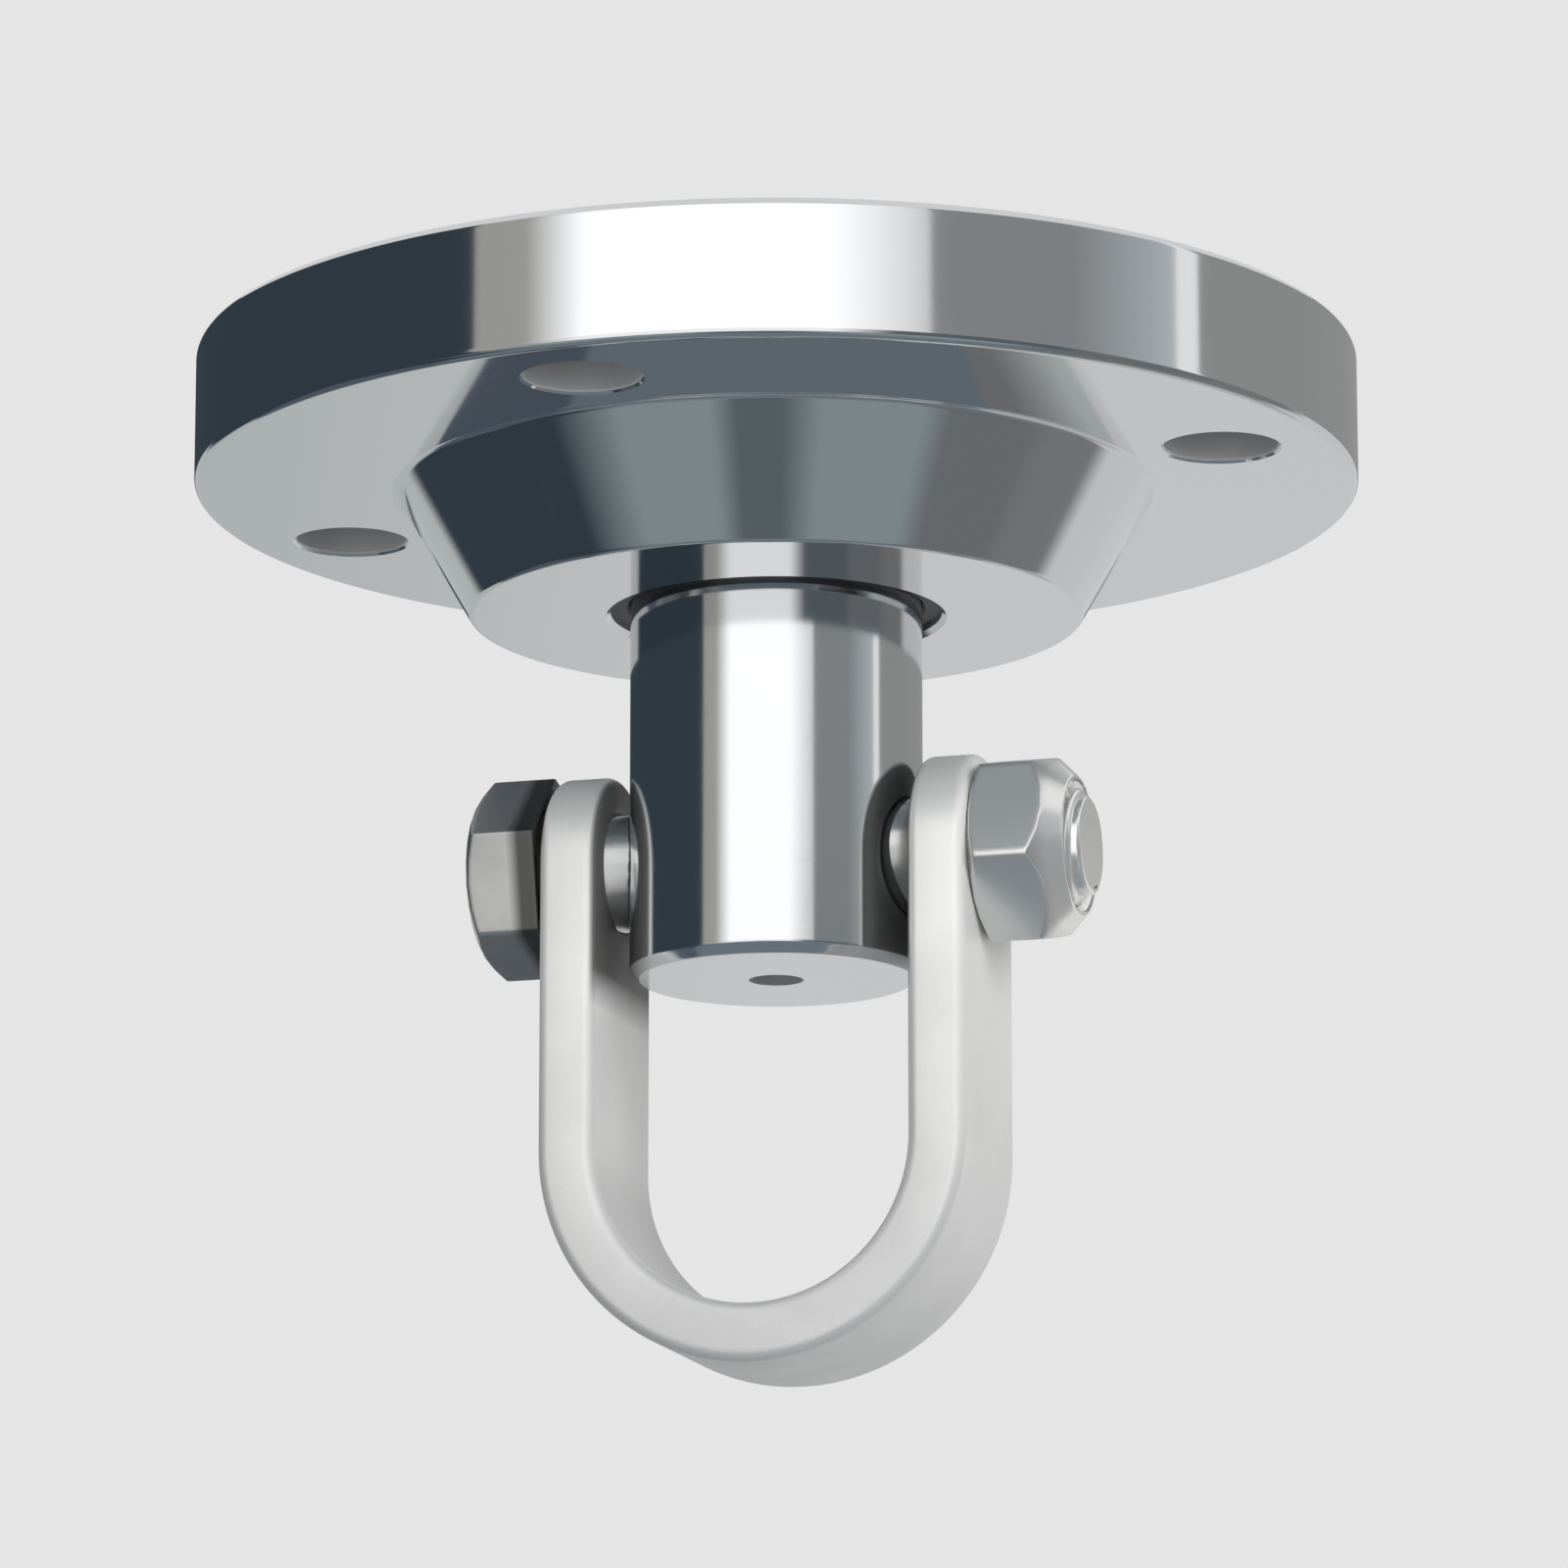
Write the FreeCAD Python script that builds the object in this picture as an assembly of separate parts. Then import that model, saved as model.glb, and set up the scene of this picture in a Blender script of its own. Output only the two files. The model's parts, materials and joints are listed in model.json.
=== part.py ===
# Swivelling ceiling hook, in millimetres.
# A round flange with a conical hub is bolted to the ceiling. A turned spindle hangs in it on a thrust
# ball bearing, and a bent strap shackle swings on a bolt through the lower end of the spindle.
# The origin is the centre of the ceiling face. +Z points up into the ceiling, and the shackle bolt
# lies along X, with its head at -X and its nut at +X.

import FreeCAD
import Part

import math
import os

from FreeCAD import Vector

# Spindle
STEM_DIAMETER = 30.0
STEM_DROP = 38.0
STEM_END_CHAMFER = 1.0
HEAD_THICKNESS = 5.0
HEAD_OVERHANG = 7.8
HEAD_EDGE_ROUND = 0.6
CENTRE_HOLE_MOUTH = 5.3
CENTRE_HOLE_PILOT = 2.5
CENTRE_HOLE_PILOT_DEPTH = 3.0
CENTRE_HOLE_ANGLE = 60.0

# Thrust ball bearing
BALL_DIAMETER = 5.5
BALL_PLAY = 0.05
RACE_SHOULDER = 1.5
RACE_BACK = 2.7
GROOVE_DEPTH = 1.1
GROOVE_CONFORMITY = 1.08
RACE_RELIEF = 0.3
LOWER_RACE_CLEARANCE = 1.0
RACE_EDGE_ROUND = 0.5
CAGE_END_CLEARANCE = 0.5
CAGE_SIDE_WALL = 0.9
CAGE_WEB = 1.2
CAGE_POCKET_PLAY = 0.15

# Guide bush in the floor of the hub
BUSH_WALL = 2.0
BUSH_RUNNING_CLEARANCE = 0.05
BUSH_RECESS = 1.0
BUSH_EDGE_BREAK = 0.3

# Flange and hub
FLANGE_THICKNESS = 14.0
FLANGE_LEDGE = 20.9
RIM_ROUND = 0.8
HUB_WALL = 8.0
HUB_FLARE = 7.6
HUB_EDGE_ROUND = 0.6
HUB_ROOT_ROUND = 0.8
FLOOR_THICKNESS = 6.0
POCKET_RELIEF = 0.5
BORE_MOUTH_CHAMFER = 0.5
HOLE_DIAMETER = 11.5
HOLE_COUNT = 4
HOLE_RIM_SETBACK = 11.25
HOLE_PATTERN_TURN = -6.5
HOLE_EDGE_BREAK = 0.4

# Cover plate and the retaining ring above it
COVER_THICKNESS = 1.2
COVER_LEDGE = 2.0
COVER_CLEARANCE = 0.1
COVER_EDGE_BREAK = 0.2
HEAD_GAP = 0.3
LIP_DEPTH = 1.4
RING_THICKNESS = 2.0
RING_PLAY = 0.1
RING_BITE = 1.5
RING_GROOVE_CLEARANCE = 0.1
RING_WIDTH_AT_BACK = 4.4
RING_WIDTH_AT_GAP = 2.4
RING_LUG_RADIUS = 2.9
RING_LUG_HOLE = 2.5
RING_GAP = 5.0

# Shackle: strap, bolt and nut
BOLT_DIAMETER = 12.0
BOLT_ABOVE_STEM_END = 12.0
BOLT_RUNNING_CLEARANCE = 0.08
BOLT_HEAD_HEIGHT = 8.2
BOLT_HEAD_TURN = -13.0
WASHER_FACE_HEIGHT = 0.6
WASHER_FACE_SHARE = 0.92
BOLT_POINT = 1.2
BOLT_POINT_CHAMFER = 1.1
HEX_SIDES = 6
HEX_ACROSS_FLATS = 18.0
HEX_CHAMFER_ANGLE = 30.0
HEX_FACE_SHARE = 0.95
NUT_HEIGHT = 9.6
NUT_TURN = 16.0
NUT_CROWN_ANGLE = 45.0
NUT_BORE_CHAMFER = 0.6
NUT_FACE_LAND = 0.6
STRAP_WIDTH = 20.0
STRAP_THICKNESS = 6.0
STRAP_EDGE_ROUND = 1.2
STRAP_HOLE_CLEARANCE = 0.2
SHACKLE_SIDE_GAP = 1.4
SHACKLE_REACH = 46.5

# Radii that follow from the fits
stem_radius = STEM_DIAMETER / 2
head_radius = stem_radius + HEAD_OVERHANG
ball_radius = BALL_DIAMETER / 2
pitch_radius = stem_radius + RACE_SHOULDER + ball_radius
bearing_radius = pitch_radius + ball_radius + RACE_SHOULDER
bush_bore_radius = stem_radius + BUSH_RUNNING_CLEARANCE
bush_radius = bush_bore_radius + BUSH_WALL
pocket_radius = max(bearing_radius, head_radius) + POCKET_RELIEF
cover_seat_radius = pocket_radius + COVER_LEDGE
ring_groove_radius = cover_seat_radius + RING_BITE
hub_bottom_radius = bearing_radius + HUB_WALL
hub_top_radius = hub_bottom_radius + HUB_FLARE
flange_radius = hub_top_radius + FLANGE_LEDGE
hole_circle_radius = flange_radius - HOLE_RIM_SETBACK

# Heights, from the ceiling face down
groove_top = -LIP_DEPTH
cover_top = groove_top - RING_THICKNESS - RING_PLAY
cover_seat = cover_top - COVER_THICKNESS
head_top = cover_seat - HEAD_GAP
head_bottom = head_top - HEAD_THICKNESS
race_thickness = RACE_BACK + GROOVE_DEPTH
upper_race_bottom = head_bottom - race_thickness
ball_height = head_bottom - RACE_BACK - BALL_PLAY - ball_radius
floor_top = ball_height - ball_radius - BALL_PLAY - RACE_BACK
lower_race_top = floor_top + race_thickness
hub_bottom = floor_top - FLOOR_THICKNESS
stem_end = hub_bottom - STEM_DROP
bolt_height = stem_end + BOLT_ABOVE_STEM_END

# Shackle outline, from the stem out
strap_inner = stem_radius + SHACKLE_SIDE_GAP
strap_outer = strap_inner + STRAP_THICKNESS
bow_height = bolt_height - SHACKLE_REACH + strap_inner
nut_face = strap_outer + NUT_HEIGHT
bolt_end = nut_face + BOLT_POINT
bolt_radius = BOLT_DIAMETER / 2
hex_face_radius = HEX_ACROSS_FLATS / 2 * HEX_FACE_SHARE
hex_corner_radius = HEX_ACROSS_FLATS / 2 / math.cos(math.pi / HEX_SIDES)
washer_face_radius = HEX_ACROSS_FLATS / 2 * WASHER_FACE_SHARE
nut_bore_mouth = bolt_radius + NUT_BORE_CHAMFER
nut_crown_radius = nut_bore_mouth + NUT_FACE_LAND

X_AXIS = Vector(1, 0, 0)
Y_AXIS = Vector(0, 1, 0)
Z_AXIS = Vector(0, 0, 1)
ORIGIN = Vector(0, 0, 0)
SAME = 1e-6


def outline(corners):
    """A closed wire in the XZ plane through corners (x, z, radius), each rounded by its own radius."""
    points = [Vector(x, 0, z) for x, z, radius in corners]
    stretches = []
    for i, (x, z, radius) in enumerate(corners):
        corner = points[i]
        if radius == 0:
            stretches.append((corner, None, corner))
            continue
        back = (points[i - 1] - corner).normalize()
        ahead = (points[(i + 1) % len(points)] - corner).normalize()
        half_angle = back.getAngle(ahead) / 2
        tangent_length = radius / math.tan(half_angle)
        inward = (back + ahead).normalize()
        middle = corner + inward * (radius / math.sin(half_angle) - radius)
        stretches.append((corner + back * tangent_length, middle, corner + ahead * tangent_length))
    edges = []
    for i, (start, middle, end) in enumerate(stretches):
        if middle is not None:
            edges.append(Part.Arc(start, middle, end).toShape())
        following = stretches[(i + 1) % len(stretches)][0]
        if (following - end).Length > SAME:
            edges.append(Part.makeLine(end, following))
    return Part.Wire(edges)


def turned(corners, axis=Z_AXIS):
    """A solid of revolution: corners are (radius, z, rounding) about Z, or (x, radius, rounding) about X."""
    return Part.Face(outline(corners)).revolve(ORIGIN, axis, 360)


def cross_pin(radius, start, end):
    """A round bar along X at the height of the shackle bolt."""
    return Part.makeCylinder(radius, end - start, Vector(start, 0, bolt_height), X_AXIS)


def mounting_flange():
    """One turned piece: flange, conical hub, stepped pocket from the top and the four anchor holes."""
    body = turned([
        (cover_seat_radius, 0, 0),
        (flange_radius, 0, RIM_ROUND),
        (flange_radius, -FLANGE_THICKNESS, RIM_ROUND),
        (hub_top_radius, -FLANGE_THICKNESS, HUB_ROOT_ROUND),
        (hub_bottom_radius, hub_bottom, HUB_EDGE_ROUND),
        (bush_radius + BORE_MOUTH_CHAMFER, hub_bottom, 0),
        (bush_radius, hub_bottom + BORE_MOUTH_CHAMFER, 0),
        (bush_radius, floor_top, 0),
        (bearing_radius, floor_top, 0),
        (bearing_radius, lower_race_top, 0),
        (pocket_radius, lower_race_top, 0),
        (pocket_radius, cover_seat, 0),
        (cover_seat_radius, cover_seat, 0),
        (cover_seat_radius, cover_top, 0),
        (ring_groove_radius, cover_top, 0),
        (ring_groove_radius, groove_top, 0),
        (cover_seat_radius, groove_top, 0),
    ])
    hole_radius = HOLE_DIAMETER / 2
    drill = turned([
        (0, 0, 0),
        (hole_radius + HOLE_EDGE_BREAK, 0, 0),
        (hole_radius, -HOLE_EDGE_BREAK, 0),
        (hole_radius, HOLE_EDGE_BREAK - FLANGE_THICKNESS, 0),
        (hole_radius + HOLE_EDGE_BREAK, -FLANGE_THICKNESS, 0),
        (0, -FLANGE_THICKNESS, 0),
    ])
    drill.translate(Vector(hole_circle_radius, 0, 0))
    for number in range(HOLE_COUNT):
        hole = drill.copy()
        hole.rotate(ORIGIN, Z_AXIS, HOLE_PATTERN_TURN + number * 360 / HOLE_COUNT)
        body = body.cut(hole)
    return body


def guide_bush():
    """The plain bush that keeps the spindle upright, set back a little from the face of the hub."""
    bottom = hub_bottom + BUSH_RECESS
    return turned([
        (bush_bore_radius, floor_top, 0),
        (bush_radius, floor_top, 0),
        (bush_radius, bottom, 0),
        (bush_bore_radius + BUSH_EDGE_BREAK, bottom, 0),
        (bush_bore_radius, bottom + BUSH_EDGE_BREAK, 0),
    ])


def raceway(height, side):
    """The ring that cuts a ball groove: side is +1 for the upper race and -1 for the lower one."""
    groove_radius = ball_radius * GROOVE_CONFORMITY
    drop = groove_radius - ball_radius - BALL_PLAY
    return Part.makeTorus(pitch_radius, groove_radius, Vector(0, 0, height - side * drop), Z_AXIS)


def bearing_upper_race():
    """The race that turns with the spindle, under its head."""
    outer = bearing_radius - RACE_RELIEF
    race = turned([
        (stem_radius, head_bottom, 0),
        (outer, head_bottom, RACE_EDGE_ROUND),
        (outer, upper_race_bottom, RACE_EDGE_ROUND),
        (stem_radius, upper_race_bottom, 0),
    ])
    return race.cut(raceway(ball_height, 1))


def bearing_lower_race():
    """The race that stays in the hub, on its floor, clear of the stem."""
    inner = stem_radius + LOWER_RACE_CLEARANCE
    race = turned([
        (inner, lower_race_top, RACE_EDGE_ROUND),
        (bearing_radius, lower_race_top, 0),
        (bearing_radius, floor_top, 0),
        (inner, floor_top, RACE_EDGE_ROUND),
    ])
    return race.cut(raceway(ball_height, -1))


def ball_places():
    """Ball centres on the pitch circle, as many as fit with a web of the cage between them."""
    count = int(2 * math.pi * pitch_radius / (BALL_DIAMETER + CAGE_WEB))
    angles = [2 * math.pi * number / count for number in range(count)]
    return [Vector(pitch_radius * math.cos(a), pitch_radius * math.sin(a), ball_height) for a in angles]


def bearing_ball(place):
    return Part.makeSphere(ball_radius, place)


def bearing_cage():
    """A flat ring with a round pocket for each ball."""
    pocket = ball_radius + CAGE_POCKET_PLAY
    reach = pocket + CAGE_SIDE_WALL
    bottom = lower_race_top + CAGE_END_CLEARANCE
    thickness = upper_race_bottom - CAGE_END_CLEARANCE - bottom
    ring = Part.makeCylinder(pitch_radius + reach, thickness, Vector(0, 0, bottom), Z_AXIS)
    ring = ring.cut(Part.makeCylinder(pitch_radius - reach, thickness, Vector(0, 0, bottom), Z_AXIS))
    for place in ball_places():
        foot = Vector(place.x, place.y, bottom)
        ring = ring.cut(Part.makeCylinder(pocket, thickness, foot, Z_AXIS))
    return ring


def spindle():
    """The turned spindle: a head over the bearing, a plain stem, the cross bore and a lathe centre hole."""
    mouth = CENTRE_HOLE_MOUTH / 2
    pilot = CENTRE_HOLE_PILOT / 2
    cone_top = stem_end + (mouth - pilot) / math.tan(math.radians(CENTRE_HOLE_ANGLE / 2))
    body = turned([
        (0, head_top, 0),
        (head_radius, head_top, HEAD_EDGE_ROUND),
        (head_radius, head_bottom, HEAD_EDGE_ROUND),
        (stem_radius, head_bottom, 0),
        (stem_radius, stem_end + STEM_END_CHAMFER, 0),
        (stem_radius - STEM_END_CHAMFER, stem_end, 0),
        (mouth, stem_end, 0),
        (pilot, cone_top, 0),
        (pilot, cone_top + CENTRE_HOLE_PILOT_DEPTH, 0),
        (0, cone_top + CENTRE_HOLE_PILOT_DEPTH + pilot, 0),
    ])
    return body.cut(cross_pin(bolt_radius + BOLT_RUNNING_CLEARANCE, -stem_radius, stem_radius))


def cover_plate():
    """The disc that closes the pocket and keeps the spindle from lifting out."""
    radius = cover_seat_radius - COVER_CLEARANCE
    return turned([
        (0, cover_top, 0),
        (radius - COVER_EDGE_BREAK, cover_top, 0),
        (radius, cover_top - COVER_EDGE_BREAK, 0),
        (radius, cover_seat, 0),
        (0, cover_seat, 0),
    ])


def retaining_ring():
    """An open spring ring in the groove above the cover, narrower towards two lugs with plier holes."""
    outer = ring_groove_radius - RING_GROOVE_CLEARANCE
    inner = outer - (RING_WIDTH_AT_BACK + RING_WIDTH_AT_GAP) / 2
    offset = (RING_WIDTH_AT_BACK - RING_WIDTH_AT_GAP) / 2
    disc = Part.makeCylinder(outer, RING_THICKNESS, Vector(0, 0, cover_top), Z_AXIS)
    ring = disc.cut(Part.makeCylinder(inner, RING_THICKNESS, Vector(0, -offset, cover_top), Z_AXIS))
    lug_side = RING_GAP / 2 + RING_LUG_RADIUS
    lug_reach = outer - RING_WIDTH_AT_GAP - RING_LUG_RADIUS / 2
    lug_y = -math.sqrt(lug_reach ** 2 - lug_side ** 2)
    for side in (-1, 1):
        foot = Vector(side * lug_side, lug_y, cover_top)
        ring = ring.fuse(Part.makeCylinder(RING_LUG_RADIUS, RING_THICKNESS, foot, Z_AXIS))
        ring = ring.cut(Part.makeCylinder(RING_LUG_HOLE / 2, RING_THICKNESS, foot, Z_AXIS))
    gap = Part.makeBox(RING_GAP, outer, RING_THICKNESS, Vector(-RING_GAP / 2, -outer, cover_top))
    return ring.cut(gap).common(disc).removeSplitter()


def strap_side_edges(strap):
    """The long edges of the strap and the rims of its round ends, without the seams across its thickness."""
    picked = []
    for edge in strap.Edges:
        middle = edge.valueAt((edge.FirstParameter + edge.LastParameter) / 2)
        straight = edge.Curve.TypeId == "Part::GeomLine"
        across = straight and abs(edge.tangentAt(edge.FirstParameter).x) > 1 - SAME
        on_side = abs(abs(middle.y) - STRAP_WIDTH / 2) < SAME
        on_round_end = middle.z > bolt_height + SAME
        if not across and (on_side or on_round_end):
            picked.append(edge)
    return picked


def shackle_strap():
    """Flat bar bent to a U, with full-round ends about the bolt and rounded edges."""
    half_width = STRAP_WIDTH / 2
    top = bolt_height + half_width

    def bow(radius):
        left = Vector(-radius, 0, bow_height)
        bottom = Vector(0, 0, bow_height - radius)
        right = Vector(radius, 0, bow_height)
        return Part.Arc(left, bottom, right).toShape()

    def line(x_start, z_start, x_end, z_end):
        return Part.makeLine(Vector(x_start, 0, z_start), Vector(x_end, 0, z_end))

    side = Part.Wire([
        line(-strap_outer, top, -strap_outer, bow_height),
        bow(strap_outer),
        line(strap_outer, bow_height, strap_outer, top),
        line(strap_outer, top, strap_inner, top),
        line(strap_inner, top, strap_inner, bow_height),
        bow(strap_inner),
        line(-strap_inner, bow_height, -strap_inner, top),
        line(-strap_inner, top, -strap_outer, top),
    ])
    strap = Part.Face(side).extrude(Y_AXIS * STRAP_WIDTH)
    strap.translate(Y_AXIS * -half_width)
    body_depth = bolt_height - bow_height + strap_outer
    foot = Vector(-strap_outer, -half_width, bow_height - strap_outer)
    end_shape = Part.makeBox(2 * strap_outer, STRAP_WIDTH, body_depth, foot)
    end_shape = end_shape.fuse(cross_pin(half_width, -strap_outer, strap_outer)).removeSplitter()
    strap = strap.common(end_shape).removeSplitter()
    strap = strap.makeFillet(STRAP_EDGE_ROUND, strap_side_edges(strap))
    return strap.cut(cross_pin(bolt_radius + STRAP_HOLE_CLEARANCE, -strap_outer, strap_outer))


def hexagon(start, end, turn):
    """A hexagonal bar along X at the bolt's height; turn 0 has corners up and down."""
    corners = []
    for number in range(HEX_SIDES + 1):
        angle = math.radians(turn + number * 360 / HEX_SIDES)
        y = hex_corner_radius * math.sin(angle)
        z = bolt_height + hex_corner_radius * math.cos(angle)
        corners.append(Vector(start, y, z))
    return Part.Face(Part.makePolygon(corners)).extrude(X_AXIS * (end - start))


def hex_blank(start, end, start_face, end_face, end_angle=HEX_CHAMFER_ANGLE):
    """The turned blank whose end cones take the corners off a hexagon, down to the two face radii."""
    start_drop = (hex_corner_radius - start_face) * math.tan(math.radians(HEX_CHAMFER_ANGLE))
    end_drop = (hex_corner_radius - end_face) * math.tan(math.radians(end_angle))
    blank = turned([
        (start, 0, 0),
        (end, 0, 0),
        (end, end_face, 0),
        (end - end_drop, hex_corner_radius, 0),
        (start + start_drop, hex_corner_radius, 0),
        (start, start_face, 0),
    ], X_AXIS)
    blank.translate(Z_AXIS * bolt_height)
    return blank


def shackle_bolt():
    """Hexagon bolt, its washer face on the strap at -X, the shank through strap, spindle and nut."""
    head_end = -strap_outer - BOLT_HEAD_HEIGHT
    head_foot = -strap_outer - WASHER_FACE_HEIGHT
    head = hexagon(head_end, head_foot, BOLT_HEAD_TURN)
    head = head.common(hex_blank(head_end, head_foot, hex_face_radius, hex_corner_radius))
    shank = turned([
        (head_foot, 0, 0),
        (head_foot, washer_face_radius, 0),
        (-strap_outer, washer_face_radius, 0),
        (-strap_outer, bolt_radius, 0),
        (bolt_end - BOLT_POINT_CHAMFER, bolt_radius, 0),
        (bolt_end, bolt_radius - BOLT_POINT_CHAMFER, 0),
        (bolt_end, 0, 0),
    ], X_AXIS)
    shank.translate(Z_AXIS * bolt_height)
    return head.fuse(shank).removeSplitter()


def shackle_nut():
    """Hexagon nut against the strap at +X, with a high crown on its outer face."""
    nut = hexagon(strap_outer, nut_face, NUT_TURN)
    blank = hex_blank(strap_outer, nut_face, hex_face_radius, nut_crown_radius, NUT_CROWN_ANGLE)
    nut = nut.common(blank)
    bore = turned([
        (strap_outer, 0, 0),
        (strap_outer, nut_bore_mouth, 0),
        (strap_outer + NUT_BORE_CHAMFER, bolt_radius, 0),
        (nut_face - NUT_BORE_CHAMFER, bolt_radius, 0),
        (nut_face, nut_bore_mouth, 0),
        (nut_face, 0, 0),
    ], X_AXIS)
    bore.translate(Z_AXIS * bolt_height)
    return nut.cut(bore)


pieces = {
    "mounting_flange": mounting_flange(),
    "guide_bush": guide_bush(),
    "bearing_lower_race": bearing_lower_race(),
    "bearing_upper_race": bearing_upper_race(),
    "bearing_cage": bearing_cage(),
    "spindle": spindle(),
    "cover_plate": cover_plate(),
    "retaining_ring": retaining_ring(),
    "shackle_strap": shackle_strap(),
    "shackle_bolt": shackle_bolt(),
    "shackle_nut": shackle_nut(),
}
for number, place in enumerate(ball_places(), start=1):
    pieces[f"bearing_ball_{number:02d}"] = bearing_ball(place)

os.makedirs("parts", exist_ok=True)
for name, shape in pieces.items():
    shape.exportStep(f"parts/{name}.step")
    box = shape.BoundBox
    print(f"{name}: {len(shape.Solids)} solid, {shape.Volume:.0f} mm3, z {box.ZMin:.2f} to {box.ZMax:.2f}")
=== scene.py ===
# %% [markdown]
# # A swivelling ceiling hook, in chrome and zinc
#
# The real object is a turned flange with a conical hub, a thick spindle that hangs in it on a ball
# bearing, and a U of flat bar that swings on a bolt through the spindle. The solids come ready from the
# frame, so this file gives them their finish, makes anew the pieces that need finer edges than a solid's
# mesh has, and lights them. Chrome has no colour of its own and shows the room, so the room matters most.

import json
import math

import bmesh
import bpy
from mathutils import Matrix, Vector


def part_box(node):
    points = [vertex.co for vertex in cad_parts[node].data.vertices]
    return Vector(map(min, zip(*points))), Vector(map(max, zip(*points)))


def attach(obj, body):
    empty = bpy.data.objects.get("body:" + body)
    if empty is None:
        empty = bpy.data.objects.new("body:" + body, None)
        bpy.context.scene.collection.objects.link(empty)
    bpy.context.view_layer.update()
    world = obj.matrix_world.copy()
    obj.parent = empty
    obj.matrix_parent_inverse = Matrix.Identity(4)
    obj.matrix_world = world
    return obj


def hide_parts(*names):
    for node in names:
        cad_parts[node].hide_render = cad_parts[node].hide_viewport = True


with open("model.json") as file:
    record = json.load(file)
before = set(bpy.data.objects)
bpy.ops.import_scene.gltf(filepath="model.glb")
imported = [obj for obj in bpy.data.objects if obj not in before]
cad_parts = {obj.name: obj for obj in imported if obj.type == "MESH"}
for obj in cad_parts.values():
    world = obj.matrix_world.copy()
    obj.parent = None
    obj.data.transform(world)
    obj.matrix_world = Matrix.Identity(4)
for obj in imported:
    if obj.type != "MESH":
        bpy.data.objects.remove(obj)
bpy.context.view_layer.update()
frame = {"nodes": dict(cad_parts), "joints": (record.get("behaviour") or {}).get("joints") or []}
nodes = frame["nodes"]
scene = bpy.context.scene

# %% [markdown]
# ## Camera
#
# The hook is seen from below, as it hangs, with the nut end of its bolt a little nearer than the head.
# The place of the camera was found by fitting the rims of flange, hub and spindle. A long lens then
# keeps that place and only narrows the view, so the ellipses stay as open as they should be. It looks
# straight at the hook and needs no shift.

# %% Camera
CAMERA_TURN = math.radians(16.45)
CAMERA_DISTANCE = 0.789
CAMERA_DROP = 0.2236
CAMERA_LOOK = (0.001, 0.227)
CAMERA_LENS = 181.3
CAMERA_SENSOR = 36.0


def add_object(name, data):
    """A new object in the scene, for a mesh, a lamp or a camera."""
    made = bpy.data.objects.new(name, data)
    scene.collection.objects.link(made)
    return made


sideways = Vector((math.cos(CAMERA_TURN), math.sin(CAMERA_TURN), 0))
ahead = Vector((-math.sin(CAMERA_TURN), math.cos(CAMERA_TURN), 0))
look = ahead + sideways * CAMERA_LOOK[0] + Vector((0, 0, CAMERA_LOOK[1]))

camera = add_object("camera", bpy.data.cameras.new("camera"))
camera.location = -ahead * CAMERA_DISTANCE - Vector((0, 0, CAMERA_DROP))
camera.rotation_euler = look.to_track_quat("-Z", "Y").to_euler()
camera.data.sensor_width = CAMERA_SENSOR
camera.data.lens = CAMERA_LENS
scene.camera = camera
scene.view_settings.view_transform = "Standard"
print("camera at", [round(v, 3) for v in camera.location])

# %% [markdown]
# ## Helpers for node trees
#
# Shader trees and geometry trees are wired in the same way: make a node, set its options, and give each
# input either a number or the output that feeds it. One helper does this for both, and a few short ones
# stand for the nodes that come back again and again.

# %% Node helpers


def add_node(tree, kind, inputs=None, **options):
    """Makes a node; inputs maps a socket's name or number to a value or to the socket that feeds it."""
    made = tree.nodes.new(kind)
    for key, value in options.items():
        setattr(made, key, value)
    for key, value in (inputs or {}).items():
        if isinstance(value, bpy.types.NodeSocket):
            tree.links.new(value, made.inputs[key])
        else:
            made.inputs[key].default_value = value
    return made


def math_node(tree, operation, *values):
    """The output of one math node, with its inputs in order."""
    return add_node(tree, "ShaderNodeMath", dict(enumerate(values)), operation=operation).outputs[0]


def parts_of(tree, vector):
    """The X, Y and Z of a vector."""
    return add_node(tree, "ShaderNodeSeparateXYZ", {0: vector}).outputs


def vector_of(tree, x=0.0, y=0.0, z=0.0):
    """A vector put together from its X, Y and Z."""
    return add_node(tree, "ShaderNodeCombineXYZ", {"X": x, "Y": y, "Z": z}).outputs[0]


def radius_of(tree, x, y):
    """How far the point (x, y) is from the middle."""
    squares = [math_node(tree, "POWER", value, 2.0) for value in (x, y)]
    return math_node(tree, "SQRT", math_node(tree, "ADD", *squares))


def span(tree, value, low, high, most=1.0):
    """0 where the value is at low, most where it is at high, and even between; low may be the larger."""
    made = add_node(tree, "ShaderNodeMapRange", {
        "Value": value,
        "From Min": low,
        "From Max": high,
        "To Max": most,
    })
    return made.outputs["Result"]


def shade(tree, factor, start, end):
    """The colour start, drawn to the colour end by a factor."""
    made = add_node(tree, "ShaderNodeMix", {"Factor": factor, "A": start, "B": end}, data_type="RGBA")
    return made.outputs["Result"]


def noise(tree, place, per_metre, detail, roughness=0.5):
    """Soft noise with so many features to the metre, mostly near 0.5."""
    made = add_node(tree, "ShaderNodeTexNoise", {
        "Vector": place,
        "Scale": per_metre,
        "Detail": detail,
        "Roughness": roughness,
    })
    return made.outputs["Fac"]


# %% [markdown]
# ## Effects that several finishes share
#
# A lathe leaves rings round the axis, which follow the distance from the axis and the height. Hands leave
# soft hazy patches. Use leaves hair-fine scratches. Plating hardly reaches into a drilled hole, so its wall
# stays dull, and the same mask lays painted shade on that wall in the chrome. Each is a shader group, so
# that chrome, zinc and steel can use it in their own strength.

# %% Lathe rings
# The rings are noise read at (radius, height), so they run round the Z axis however the piece is shaped.


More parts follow.
